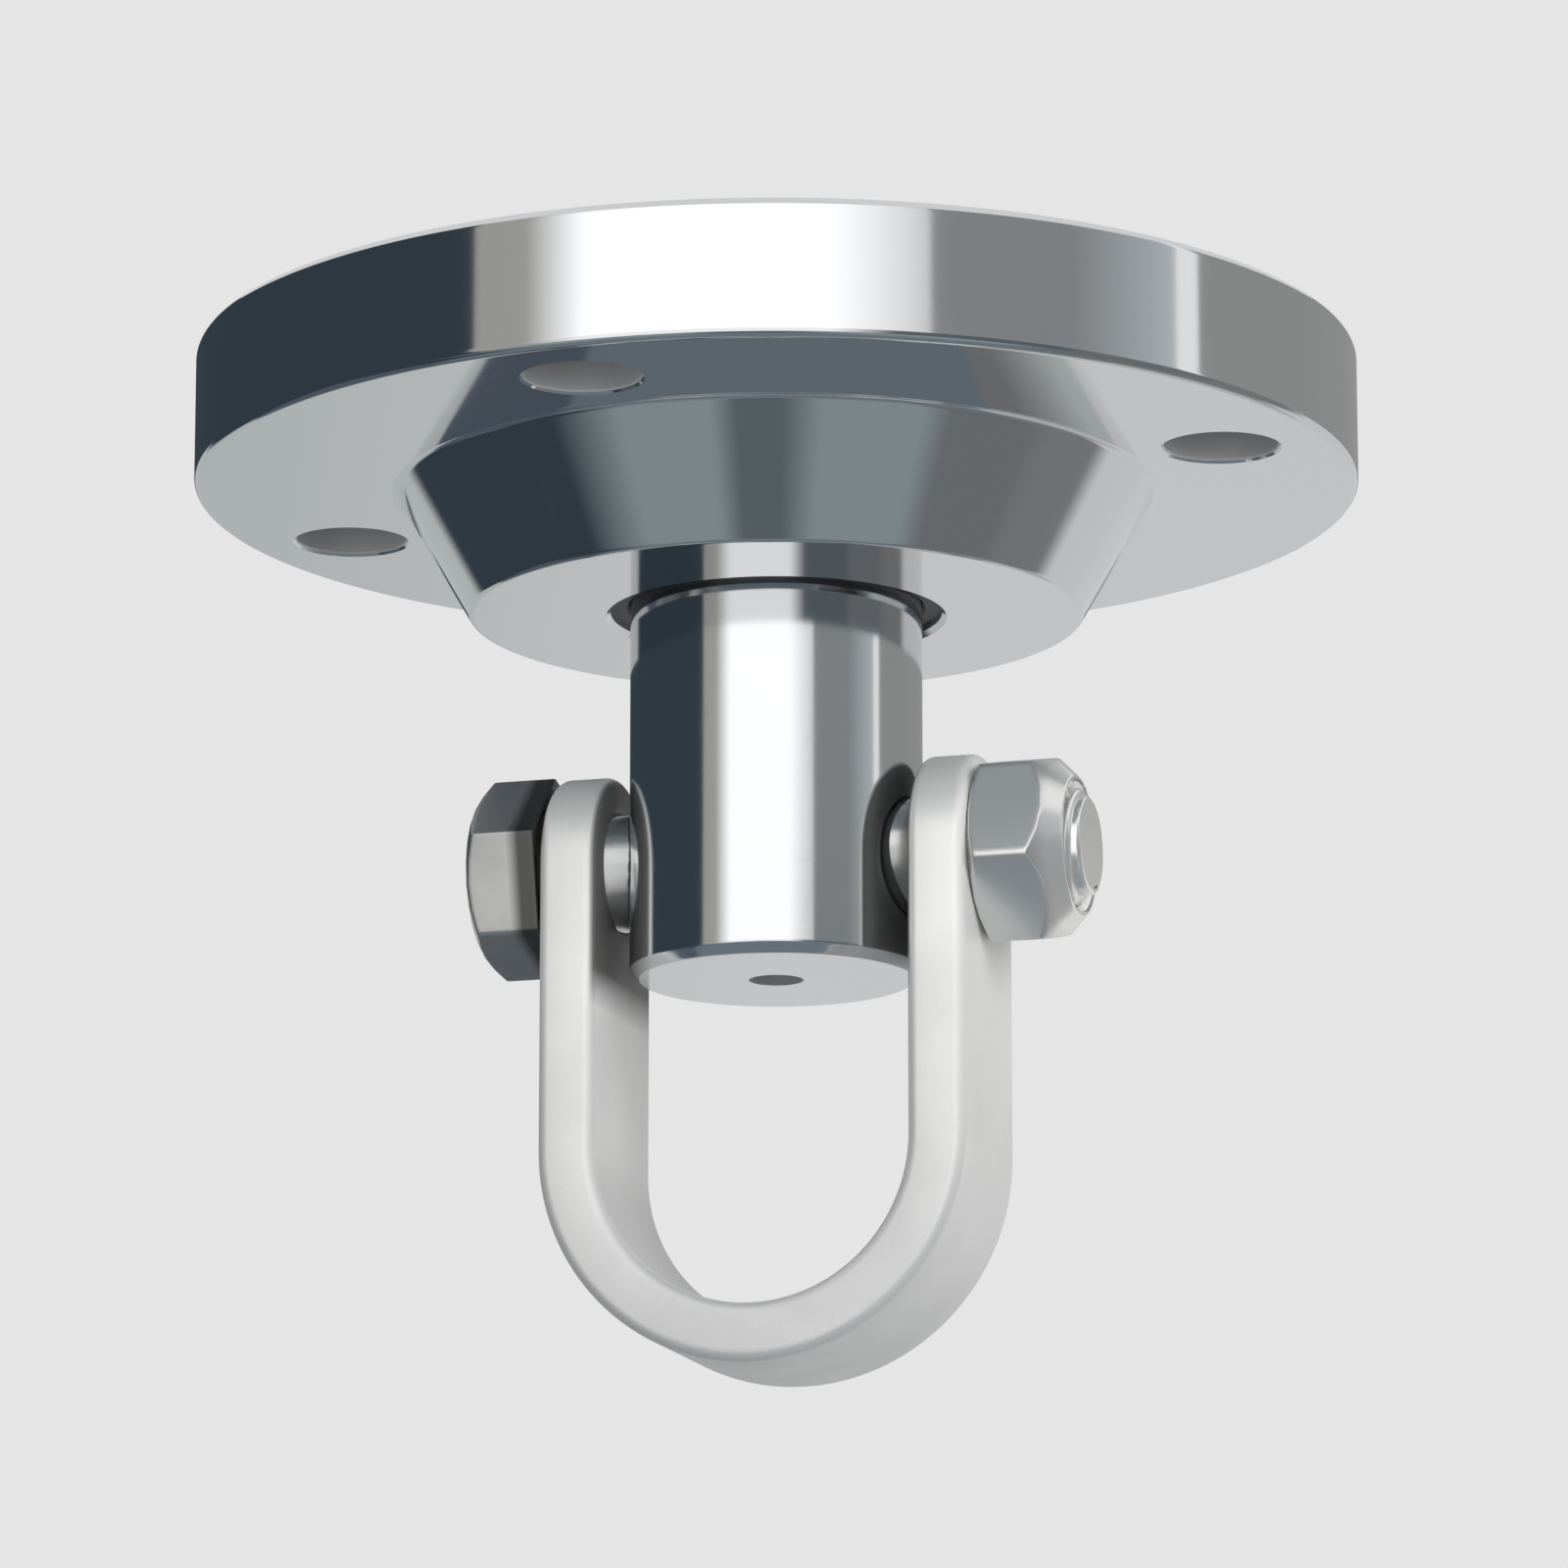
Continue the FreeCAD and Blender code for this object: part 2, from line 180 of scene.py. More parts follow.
def shader_group(name, inputs, output):
    """An empty shader group, the sockets of its Vector and its numbers, and the socket for its result."""
    group = bpy.data.node_groups.new(name, "ShaderNodeTree")
    group.interface.new_socket("Vector", in_out="INPUT", socket_type="NodeSocketVector")
    for label, value in inputs.items():
        socket = group.interface.new_socket(label, in_out="INPUT", socket_type="NodeSocketFloat")
        socket.default_value = value
    group.interface.new_socket(output, in_out="OUTPUT", socket_type="NodeSocketFloat")
    print("shader group", name, "takes", list(inputs), "and gives", output)
    return group, group.nodes.new("NodeGroupInput").outputs, group.nodes.new("NodeGroupOutput").inputs[0]


rings, given, result = shader_group("lathe_rings", {"Rings per metre": 4000.0}, "Height")
x, y, z = parts_of(rings, given["Vector"])
section = vector_of(rings, x=radius_of(rings, x, y), z=z)
rings.links.new(noise(rings, section, given["Rings per metre"], 2.0), result)

# %% Haze from handling
HAZE_EDGE = (0.42, 0.72)

haze, given, result = shader_group("handling_haze", {"Patches per metre": 45.0}, "Haze")
cloud = noise(haze, given["Vector"], given["Patches per metre"], 3.0, roughness=0.55)
haze.links.new(span(haze, cloud, *HAZE_EDGE), result)

# %% Hair-fine scratches
# Noise that is drawn out along two axes changes along the third alone, so a narrow band of its values is a
# set of thin straight lines. Coarse noise leaves only short stretches of them. Three directions cross.
SCRATCH_TURNS = ((0.4, 0.3, 0.5), (1.1, -0.5, 2.1), (-0.6, 0.9, 1.3))
SCRATCH_DRAWN_OUT = 30.0
LINE_BAND = 0.02
STRETCHES_PER_LINE = 0.12
STRETCH_EDGE = (0.54, 0.64)

scratches, given, result = shader_group("fine_scratches", {"Lines per metre": 900.0}, "Scratch")
stretches = math_node(scratches, "MULTIPLY", given["Lines per metre"], STRETCHES_PER_LINE)
layers = []
for turn in SCRATCH_TURNS:
    drawn_out = add_node(scratches, "ShaderNodeMapping", {
        "Vector": given["Vector"],
        "Location": turn,
        "Rotation": turn,
        "Scale": (1.0, SCRATCH_DRAWN_OUT, SCRATCH_DRAWN_OUT),
    }, vector_type="TEXTURE")
    fine = noise(scratches, drawn_out.outputs[0], given["Lines per metre"], 1.0)
    from_middle = math_node(scratches, "ABSOLUTE", math_node(scratches, "SUBTRACT", fine, 0.5))
    line = span(scratches, from_middle, LINE_BAND, 0.0)
    moved = add_node(scratches, "ShaderNodeVectorMath", {0: given["Vector"], 1: turn})
    coarse = noise(scratches, moved.outputs[0], stretches, 1.0)
    layers.append(math_node(scratches, "MULTIPLY", line, span(scratches, coarse, *STRETCH_EDGE)))
most = math_node(scratches, "MAXIMUM", math_node(scratches, "MAXIMUM", *layers[:2]), layers[2])
scratches.links.new(most, result)

# %% Walls of drilled holes
# The holes stand evenly on a circle about the Z axis. The angle is folded onto one hole, and the distance
# to the axis of that hole makes the mask. A circle of no radius gives one hole in the middle.
PAST_WALL = (0.0002, 0.0001)

drilled, given, result = shader_group("drilled_walls", {
    "Count": 1.0,
    "Circle radius": 0.0,
    "Turn": 0.0,
    "Hole radius": 0.005,
}, "Wall")
x, y, z = parts_of(drilled, given["Vector"])
fold = math_node(drilled, "DIVIDE", math.pi, given["Count"])
from_first = math_node(drilled, "SUBTRACT", math_node(drilled, "ARCTAN2", y, x), given["Turn"])
from_hole = math_node(drilled, "WRAP", from_first, fold, math_node(drilled, "MULTIPLY", fold, -1.0))
radius = radius_of(drilled, x, y)
outward = math_node(drilled, "MULTIPLY", math_node(drilled, "COSINE", from_hole), radius)
beside = math_node(drilled, "MULTIPLY", math_node(drilled, "SINE", from_hole), radius)
to_axis = radius_of(drilled, math_node(drilled, "SUBTRACT", outward, given["Circle radius"]), beside)
edges = [math_node(drilled, "ADD", given["Hole radius"], past) for past in PAST_WALL]
drilled.links.new(span(drilled, to_axis, *edges), result)

# %% [markdown]
# ## Finishes
#
# Every finish starts from the same small set of nodes: object coordinates, the shared effects and a
# Principled shader. What differs is how metallic, how rough and how marked it is. The numbers that are
# the same all over a surface are set on the shader itself.

# %% Finish helpers
BUMP_HEIGHT = 0.0001


def new_finish(name, colour, metallic):
    """A material with its node tree, its Principled shader and its object coordinates."""
    material = bpy.data.materials.new(name)
    material.use_nodes = True
    tree = material.node_tree
    shader = tree.nodes["Principled BSDF"]
    shader.inputs["Base Color"].default_value = (*colour, 1.0)
    shader.inputs["Metallic"].default_value = metallic
    place = add_node(tree, "ShaderNodeTexCoord").outputs["Object"]
    print("finish", name)
    return material, tree, shader, place


def effect(tree, group, place, **values):
    """One shared effect placed in a material; gives its only output."""
    made = add_node(tree, "ShaderNodeGroup", node_tree=group)
    tree.links.new(place, made.inputs["Vector"])
    for label, value in values.items():
        made.inputs[label.replace("_", " ")].default_value = value
    return made.outputs[0]


def mix_values(tree, base, *parts):
    """base plus each (value, share) added up, for a roughness or a height."""
    total = base
    for value, share in parts:
        total = math_node(tree, "MULTIPLY_ADD", value, share, total)
    return total


def feed(tree, shader, **values):
    """Leads outputs to the shader's sockets of these names."""
    for label, value in values.items():
        tree.links.new(value, shader.inputs[label.replace("_", " ")])


def add_bump(tree, shader, height, strength):
    """Fine relief on the surface, from a height between 0 and 1."""
    bump = add_node(tree, "ShaderNodeBump", {
        "Strength": strength,
        "Distance": BUMP_HEIGHT,
        "Height": height,
    })
    feed(tree, shader, Normal=bump.outputs["Normal"])


# %% Chrome on the flange and on the spindle
# A drilled wall is dull, and darker than the chrome round it: painted shade, whose tone changes from the
# mouth of the hole inwards. The ceiling face, which nobody sees once the hook is up, is left as the lathe
# left it.
CHROME = (0.745, 0.755, 0.77, 1.0)
# Tones of the painted shade on the walls of the holes, at the mouth and deeper in.
FLANGE_MOUTH_SHADE = (0.60, 0.605, 0.61, 1.0)
STEM_MOUTH_SHADE = (0.30, 0.305, 0.31, 1.0)
DEEP_HOLE_SHADE = (0.42, 0.425, 0.43, 1.0)
DEEP = 0.0030
CEILING_FACE = (-0.0004, -0.0002)

PLATE = 0.014
STEM_END = -0.065
HOLE_COUNT = 4
HOLE_CIRCLE = 0.04875
HOLE_TURN = math.radians(-6.5)
HOLE_RADIUS = 0.00575
CENTRE_HOLE_RADIUS = 0.00265


def chrome(name, roughness, rings_per_metre, haze_share, mouth, mouth_shade, **holes):
    """Chrome with lathe rings, haze, scratches and painted shade in its holes, which begin at the height
    mouth.
    """
    material, tree, shader, place = new_finish(name, CHROME[:3], 1.0)
    lathe = effect(tree, rings, place, Rings_per_metre=rings_per_metre)
    smudge = effect(tree, haze, place, Patches_per_metre=38.0)
    scratch = effect(tree, scratches, place, Lines_per_metre=700.0)
    wall = effect(tree, drilled, place, **holes)
    height = parts_of(tree, place)["Z"]
    as_turned = span(tree, height, *CEILING_FACE)
    # Painted shade: the walls of the holes are darkened, from the tone at the mouth to a deeper tone.
    hole_shade = shade(tree, span(tree, height, mouth, mouth + DEEP), mouth_shade, DEEP_HOLE_SHADE)
    roughness = mix_values(
        tree, roughness, (smudge, haze_share), (scratch, 0.04), (lathe, 0.03), (wall, 0.42),
        (as_turned, 0.28))
    feed(tree, shader, Roughness=roughness, Base_Color=shade(tree, wall, CHROME, hole_shade))
    feed(tree, shader, Metallic=mix_values(tree, 1.0, (wall, -0.7)))
    add_bump(tree, shader, lathe, 0.015)
    return material


flange_chrome = chrome(
    "flange_chrome", roughness=0.062, rings_per_metre=2600.0, haze_share=0.035,
    mouth=-PLATE, mouth_shade=FLANGE_MOUTH_SHADE,
    Count=HOLE_COUNT, Circle_radius=HOLE_CIRCLE, Turn=HOLE_TURN, Hole_radius=HOLE_RADIUS)
spindle_chrome = chrome(
    "spindle_chrome", roughness=0.092, rings_per_metre=3400.0, haze_share=0.03,
    mouth=STEM_END, mouth_shade=STEM_MOUTH_SHADE,
    Hole_radius=CENTRE_HOLE_RADIUS)

# %% Satin zinc on the strap
# The plating is milky, so much of the light it returns is scattered. A painted shade darkens it from the
# ears towards the bow, and a deeper painted shade lies on its inner faces beside the stem.
ZINC = (0.95, 0.95, 0.93, 1.0)
HAZY_ZINC = (0.87, 0.875, 0.86, 1.0)
SHADED_ZINC = (0.70, 0.705, 0.70, 1.0)
# The dark tone of painted shade, used on the strap and on the head of the bolt.
SHADE_TONE = (0.09, 0.09, 0.085, 1.0)
# Painted shade: the strap darkens between these heights, towards its bow.
BOW_SHADE_HEIGHTS = (-0.064, -0.100)
GAP_SHADE_INSIDE = (0.0170, 0.0166)
GAP_SHADE_HEIGHT = (-0.0685, -0.0645)
GAP_SHADE_SHARE = 0.86

strap_zinc, tree, shader, place = new_finish("strap_zinc", (0.84, 0.84, 0.825), 0.42)
smudge = effect(tree, haze, place, Patches_per_metre=70.0)
scratch = effect(tree, scratches, place, Lines_per_metre=1100.0)
x, y, z = parts_of(tree, place)
plating = shade(tree, mix_values(tree, 0.0, (smudge, 0.7), (scratch, 0.3)), ZINC, HAZY_ZINC)
# Painted shade, darker from the ears towards the bow.
shaded_to_bow = shade(tree, span(tree, z, *BOW_SHADE_HEIGHTS), plating, SHADED_ZINC)
# Painted shade in the narrow gap between the arms and the stem, on the inner faces of the strap.
inside = span(tree, math_node(tree, "ABSOLUTE", x), *GAP_SHADE_INSIDE)
beside_stem = span(tree, z, *GAP_SHADE_HEIGHT, most=GAP_SHADE_SHARE)
gap_shaded = shade(tree, math_node(tree, "MULTIPLY", inside, beside_stem), shaded_to_bow, SHADE_TONE)
roughness = mix_values(tree, 0.40, (smudge, 0.10), (scratch, -0.08))
feed(tree, shader, Base_Color=gap_shaded, Roughness=roughness)
add_bump(tree, shader, noise(tree, place, 2600.0, 3.0), 0.12)

# %% Bright zinc on bolt and nut
# The flats of the head are darker than the nut, and a painted shadow makes them darkest at their foot,
# beside the strap. A painted highlight brightens the crown of the nut and the point of the bolt. All this
# changes along the bolt.
BRIGHT_ZINC = (0.77, 0.77, 0.76, 1.0)
HAZY_BRIGHT_ZINC = (0.67, 0.67, 0.655, 1.0)
HIGHLIGHT_ZINC = (0.95, 0.95, 0.94, 1.0)
HEAD_FLATS = (-0.0311, -0.0302)
HEAD_SEAT_SHADOW = (-0.0260, -0.0247)
HEAD_FROM = -0.02
FLATS_DARKENING = 0.40
# Where the painted highlight on the crown and the bolt's point begins along the bolt.
LIT_END = (0.0294, 0.0306)

fastener_zinc, tree, shader, place = new_finish("fastener_zinc", (0.74, 0.74, 0.73), 0.82)
smudge = effect(tree, haze, place, Patches_per_metre=110.0)
along = parts_of(tree, place)["X"]
plating = shade(tree, smudge, BRIGHT_ZINC, HAZY_BRIGHT_ZINC)
# Painted highlight on the crown of the nut and the point of the bolt.
end_highlighted = shade(tree, span(tree, along, *LIT_END), plating, HIGHLIGHT_ZINC)
on_flats = span(tree, along, *HEAD_FLATS)
# Painted shadow at the foot of the head, where it meets the strap.
in_seat_shadow = span(tree, along, *HEAD_SEAT_SHADOW)
head_darkening = mix_values(tree, 0.0, (on_flats, FLATS_DARKENING), (in_seat_shadow, 1 - FLATS_DARKENING))
on_head = math_node(tree, "LESS_THAN", along, HEAD_FROM)
# The flats of the head darkened, with a painted shadow at their foot.
head_darkened = shade(tree, math_node(tree, "MULTIPLY", head_darkening, on_head), end_highlighted, SHADE_TONE)
feed(tree, shader, Base_Color=head_darkened, Roughness=mix_values(tree, 0.21, (smudge, 0.08)))
add_bump(tree, shader, noise(tree, place, 3000.0, 2.0), 0.01)

# %% Bearing steel, cover zinc, cage brass and ring steel


def turned_metal(name, colour, roughness, rings_per_metre, haze_share):
    """Bare or plainly plated metal with its lathe rings and its haze."""
    material, tree, shader, place = new_finish(name, colour, 1.0)
    lathe = effect(tree, rings, place, Rings_per_metre=rings_per_metre)
    smudge = effect(tree, haze, place, Patches_per_metre=80.0)
    feed(tree, shader, Roughness=mix_values(tree, roughness, (smudge, haze_share), (lathe, 0.06)))
    add_bump(tree, shader, lathe, 0.08)
    return material


bearing_steel = turned_metal(
    "bearing_steel", (0.62, 0.63, 0.64), roughness=0.10, rings_per_metre=5200.0, haze_share=0.06)
cover_zinc = turned_metal(
    "cover_zinc", (0.62, 0.63, 0.63), roughness=0.30, rings_per_metre=1800.0, haze_share=0.15)
cage_brass = turned_metal(
    "cage_brass", (0.72, 0.55, 0.28), roughness=0.26, rings_per_metre=3000.0, haze_share=0.14)

ring_spring_steel, tree, shader, place = new_finish("ring_spring_steel", (0.10, 0.10, 0.11), 0.85)
smudge = effect(tree, haze, place, Patches_per_metre=300.0)
feed(tree, shader, Roughness=mix_values(tree, 0.42, (smudge, 0.2)))
add_bump(tree, shader, noise(tree, place, 4200.0, 4.0), 0.2)

# %% Polymer bush
bush_polymer, tree, shader, place = new_finish("bush_polymer", (0.03, 0.03, 0.033), 0.0)
lathe = effect(tree, rings, place, Rings_per_metre=1500.0)
speckle = noise(tree, place, 3800.0, 3.0)
feed(tree, shader, Roughness=mix_values(tree, 0.40, (speckle, 0.15)))
add_bump(tree, shader, mix_values(tree, 0.0, (lathe, 0.5), (speckle, 0.5)), 0.1)

# %% [markdown]
# ## Solids that keep their shape
#
# The pieces inside the hub are hardly seen, and their solids are already exact, with their roundings and
# smooth normals. They stay, and only take their finish.

# %% Dress the solids
kept = {
    "guide_bush": bush_polymer,
    "bearing_lower_race": bearing_steel,
    "bearing_upper_race": bearing_steel,
    "bearing_cage": cage_brass,
    "cover_plate": cover_zinc,
    "retaining_ring": ring_spring_steel,
}
for name, finish in kept.items():
    nodes[name].data.materials.clear()
    nodes[name].data.materials.append(finish)
print("dressed solids:", len(kept))

# %% [markdown]
# ## Geometry trees
#
# A geometry tree is a rule that runs on a mesh. Here each tree is built once and runs on a start mesh, and
# its result is kept as a plain mesh, so that nothing is left to evaluate later.

# %% Tree helpers


def geometry_tree(name, inputs):
    """A new geometry tree and the sockets of its inputs: Geometry, and those that are named."""
    tree = bpy.data.node_groups.new(name, "GeometryNodeTree")
    tree.interface.new_socket("Geometry", in_out="INPUT", socket_type="NodeSocketGeometry")
    for label, kind in inputs.items():
        tree.interface.new_socket(label, in_out="INPUT", socket_type="NodeSocket" + kind)
    tree.interface.new_socket("Geometry", in_out="OUTPUT", socket_type="NodeSocketGeometry")
    return tree, tree.nodes.new("NodeGroupInput").outputs


def end_tree(tree, geometry, material):
    """Smooth shading, real geometry instead of instances, and the finish: the end of every tree here."""
    smooth = add_node(tree, "GeometryNodeSetShadeSmooth", {"Geometry": geometry})
    real = add_node(tree, "GeometryNodeRealizeInstances", {"Geometry": smooth.outputs[0]})
    dressed = add_node(tree, "GeometryNodeSetMaterial", {"Geometry": real.outputs[0], "Material": material})
    last = tree.nodes.new("NodeGroupOutput")
    tree.links.new(dressed.outputs[0], last.inputs[0])


def run_tree(name, tree, start_mesh, **values):
    """Runs a tree on a start mesh and gives its result as a plain mesh object at the origin."""
    piece = add_object(name, start_mesh)
    rule = piece.modifiers.new("rule", "NODES")
    rule.node_group = tree
    for item in tree.interface.items_tree:
        if item.in_out == "INPUT" and item.name in values:
            rule[item.identifier] = values[item.name]
    graph = bpy.context.evaluated_depsgraph_get()
    finished = bpy.data.meshes.new_from_object(piece.evaluated_get(graph))
    piece.modifiers.clear()
    piece.data = finished
    print(name, "has", len(finished.polygons), "faces")
    return piece


def points_on_circle(tree, count, radius, turn=0.0, height=0.0):
    """Points at even steps on a level circle about the Z axis; turn is where the first one stands."""
    number = add_node(tree, "GeometryNodeInputIndex").outputs[0]
    share = math_node(tree, "DIVIDE", number, count)
    angle = math_node(tree, "MULTIPLY_ADD", share, 2 * math.pi, turn)
    x = math_node(tree, "MULTIPLY", math_node(tree, "COSINE", angle), radius)
    y = math_node(tree, "MULTIPLY", math_node(tree, "SINE", angle), radius)
    place = vector_of(tree, x, y, height)
    return add_node(tree, "GeometryNodePoints", {"Count": count, "Position": place}).outputs[0]


# %% [markdown]
# ## Flange and spindle
#
# Both were turned on a lathe, and chrome shows every flaw of a mesh along their edges, so they are turned
# anew, finer than the mesh of a solid. The lathe tool's path is a list of corners, each with a radius, a
# height and a rounding. A rounded corner becomes a small arc, with one more ring on either side that keeps
# the faces next to it flat. Every point of the path is then a ring round the axis, and the rings are
# skinned. Corners without a rounding stay sharp.

# %% Lathe helpers
TURN_STEPS = 480
ARC_STEPS = 6
ARC_SUPPORT = 0.00015
SHARP_FROM = math.radians(30)
CUBIC_MM = 1e9


def skin(name, rings, finish, ends_meet=False):
    """A closed mesh from rings of equal length: the ends are filled, or the last ring meets the first."""
    bm = bmesh.new()
    rows = [[bm.verts.new(point) for point in ring] for ring in rings]
    following = rows[1:] + rows[:1] if ends_meet else rows[1:]
    for here, there in zip(rows, following):
        for k in range(len(here)):
            n = (k + 1) % len(here)
            bm.faces.new((here[k], here[n], there[n], there[k]))
    if not ends_meet:
        bm.faces.new(rows[0])
        bm.faces.new(rows[-1])
    bmesh.ops.recalc_face_normals(bm, faces=bm.faces)
    mesh = bpy.data.meshes.new(name)
    bm.to_mesh(mesh)
    bm.free()
    mesh.shade_smooth()
    mesh.materials.append(finish)
    return mesh


def rounded(path):
    """The points (radius, height) of a lathe path, with every corner that has a rounding made an arc."""
    points = []
    for number, (r, z, rounding) in enumerate(path):
        corner = Vector((r, z))
        if not rounding:
            points.append(corner)
            continue
        back = (Vector(path[number - 1][:2]) - corner).normalized()
        on = (Vector(path[(number + 1) % len(path)][:2]) - corner).normalized()
        half = back.angle(on) / 2
        centre = corner + (back + on).normalized() * rounding / math.sin(half)
        run = rounding / math.tan(half)
        first, last = corner + back * run - centre, corner + on * run - centre
        points.append(corner + back * (run + ARC_SUPPORT))
        points += [centre + first.slerp(last, step / ARC_STEPS) * rounding for step in range(ARC_STEPS + 1)]
        points.append(corner + on * (run + ARC_SUPPORT))
    return points


def turned(name, path, finish, steps=TURN_STEPS, ends_meet=False):
    """A mesh turned about the Z axis; a path that comes back to its start leaves the middle open."""
    round_about = [2 * math.pi * number / steps for number in range(steps)]
    ways = [(math.cos(angle), math.sin(angle)) for angle in round_about]
    return skin(name, [[(r * x, r * y, z) for x, y in ways] for r, z in rounded(path)], finish, ends_meet)


def show_volume(piece, node):
    """Prints whether a mesh is closed, and its volume beside that of the solid it stands for."""
    sizes = []
    for mesh in (piece.data, nodes[node].data):
        bm = bmesh.new()
        bm.from_mesh(mesh)
        sizes.append(bm.calc_volume() * CUBIC_MM)
        if mesh == piece.data:
            closed = all(edge.is_manifold for edge in bm.edges)
        bm.free()
    print(piece.name, "closed:", closed, "volume", [round(size) for size in sizes], "mm3")


# %% [markdown]
# The holes are drilled afterwards, as in the workshop. A drill is itself a turned mesh, as wide at its ends
# as the broken edges of the hole. A tree sets drills on a circle and takes them away from the piece, and a
# circle of no radius with one drill makes the bore across the spindle.

# %% Drill tree
drilling, given = geometry_tree("drill_on_circle", {
    "Drill": "Object",
    "Count": "Int",
    "Circle radius": "Float",
    "Turn": "Float",
    "Material": "Material",
})
drill = add_node(drilling, "GeometryNodeObjectInfo", {"Object": given["Drill"]})
places = points_on_circle(drilling, *(given[label] for label in ("Count", "Circle radius", "Turn")))
drills = add_node(drilling, "GeometryNodeInstanceOnPoints", {
    "Points": places,
    "Instance": drill.outputs["Geometry"],
})
real = add_node(drilling, "GeometryNodeRealizeInstances", {"Geometry": drills.outputs[0]})
pierced = add_node(drilling, "GeometryNodeMeshBoolean", {
    "Mesh 1": given["Geometry"],
    "Mesh 2": real.outputs[0],
}, operation="DIFFERENCE", solver="EXACT")
end_tree(drilling, pierced.outputs["Mesh"], given["Material"])


def drill_out(name, blank, drill_mesh, finish, count=1, circle=0.0, turn=0.0):
    """A turned blank with its holes; the drill is thrown away, and edges are made sharp by their angle."""
    tool = add_object("drill", drill_mesh)
    piece = run_tree(name, drilling, blank, **{
        "Drill": tool,
        "Count": count,
        "Circle radius": circle,
        "Turn": turn,
        "Material": finish,
    })
    bpy.data.objects.remove(tool)
    piece.data.set_sharp_from_angle(angle=SHARP_FROM)
    return piece


# %% Flange
# The path goes round the rim and down the cone, then up inside: the bore of the bush, the shelf of the
# bearing's race, the pocket, the seat of the cover and the groove of its ring.
RIM_RADIUS = 0.0600
RIM_ROUND = 0.0008
CONE_TOP = 0.0391
CONE_END = 0.0315
CONE_ROUND = 0.0006
HUB_END = -0.0270
MOUTH_BREAK = 0.0005
BUSH_RADIUS = 0.01705
BUSH_TOP = -0.0210
RACE_RADIUS = 0.0235
RACE_SHELF = -0.0172
POCKET_RADIUS = 0.0240
COVER_SEAT = -0.0047
COVER_RADIUS = 0.0260
GROOVE_LOW, GROOVE_HIGH = -0.0035, -0.0014
GROOVE_RADIUS = 0.0275
HOLE_EDGE_BREAK = 0.0004
OVERRUN = 0.001
DRILL_STEPS = 96

flange_path = [
    (COVER_RADIUS, 0.0, 0),
    (RIM_RADIUS, 0.0, RIM_ROUND), (RIM_RADIUS, -PLATE, RIM_ROUND),
    (CONE_TOP, -PLATE, RIM_ROUND), (CONE_END, HUB_END, CONE_ROUND),
    (BUSH_RADIUS + MOUTH_BREAK, HUB_END, 0), (BUSH_RADIUS, HUB_END + MOUTH_BREAK, 0),
    (BUSH_RADIUS, BUSH_TOP, 0), (RACE_RADIUS, BUSH_TOP, 0),
    (RACE_RADIUS, RACE_SHELF, 0), (POCKET_RADIUS, RACE_SHELF, 0),
    (POCKET_RADIUS, COVER_SEAT, 0), (COVER_RADIUS, COVER_SEAT, 0),
    (COVER_RADIUS, GROOVE_LOW, 0), (GROOVE_RADIUS, GROOVE_LOW, 0),
    (GROOVE_RADIUS, GROOVE_HIGH, 0), (COVER_RADIUS, GROOVE_HIGH, 0),
]
mouth = HOLE_RADIUS + HOLE_EDGE_BREAK + OVERRUN
hole_path = [
    (mouth, OVERRUN, 0), (HOLE_RADIUS, -HOLE_EDGE_BREAK, 0),
    (HOLE_RADIUS, HOLE_EDGE_BREAK - PLATE, 0), (mouth, -PLATE - OVERRUN, 0),
]
flange = drill_out(
    "flange",
    turned("flange_blank", flange_path, flange_chrome, ends_meet=True),
    turned("hole_drill", hole_path, flange_chrome, DRILL_STEPS),
    flange_chrome, HOLE_COUNT, HOLE_CIRCLE, HOLE_TURN,
)
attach(flange, "mount")
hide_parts("mounting_flange")
show_volume(flange, "mounting_flange")

# %% Spindle
# The path goes over the broad head, down the stem and into the centre hole that the lathe held it by: a
# cone and a narrow pilot. A ring can't be a point, so the path starts and ends a hair off the axis.
BROAD_HEAD_RADIUS = 0.0228
BROAD_HEAD_TOP, BROAD_HEAD_FOOT = -0.0050, -0.0100
BROAD_HEAD_ROUND = 0.0006
STEM_RADIUS = 0.015
STEM_CHAMFER = 0.001
STEM_ROUND = 0.0002
PILOT_RADIUS = 0.00125
CENTRE_CONE = 0.002425
PILOT_LENGTH = 0.003
OFF_AXIS = 0.00002
CROSS_BORE_RADIUS = 0.00608

swing = next(joint for joint in frame["joints"] if joint["name"] == "shackle_swing")
bolt_height = swing["pos_m"][2]
pilot_start = STEM_END + CENTRE_CONE
pilot_end = pilot_start + PILOT_LENGTH
spindle_path = [
    (OFF_AXIS, BROAD_HEAD_TOP, 0), (BROAD_HEAD_RADIUS, BROAD_HEAD_TOP, BROAD_HEAD_ROUND),
    (BROAD_HEAD_RADIUS, BROAD_HEAD_FOOT, BROAD_HEAD_ROUND), (STEM_RADIUS, BROAD_HEAD_FOOT, 0),
    (STEM_RADIUS, STEM_END + STEM_CHAMFER, STEM_ROUND), (STEM_RADIUS - STEM_CHAMFER, STEM_END, STEM_ROUND),
    (CENTRE_HOLE_RADIUS, STEM_END, 0), (PILOT_RADIUS, pilot_start, 0),
    (PILOT_RADIUS, pilot_end, 0), (OFF_AXIS, pilot_end + PILOT_RADIUS - OFF_AXIS, 0),
]
spindle_blank = turned("spindle_blank", spindle_path, spindle_chrome)
bore_path = [(CROSS_BORE_RADIUS, -2 * STEM_RADIUS, 0), (CROSS_BORE_RADIUS, 2 * STEM_RADIUS, 0)]
bore_drill = turned("bore_drill", bore_path, spindle_chrome, DRILL_STEPS)
bore_drill.transform(Matrix.Translation((0, 0, bolt_height)) @ Matrix.Rotation(math.radians(90), 4, "Y"))
spindle = drill_out("stem", spindle_blank, bore_drill, spindle_chrome)
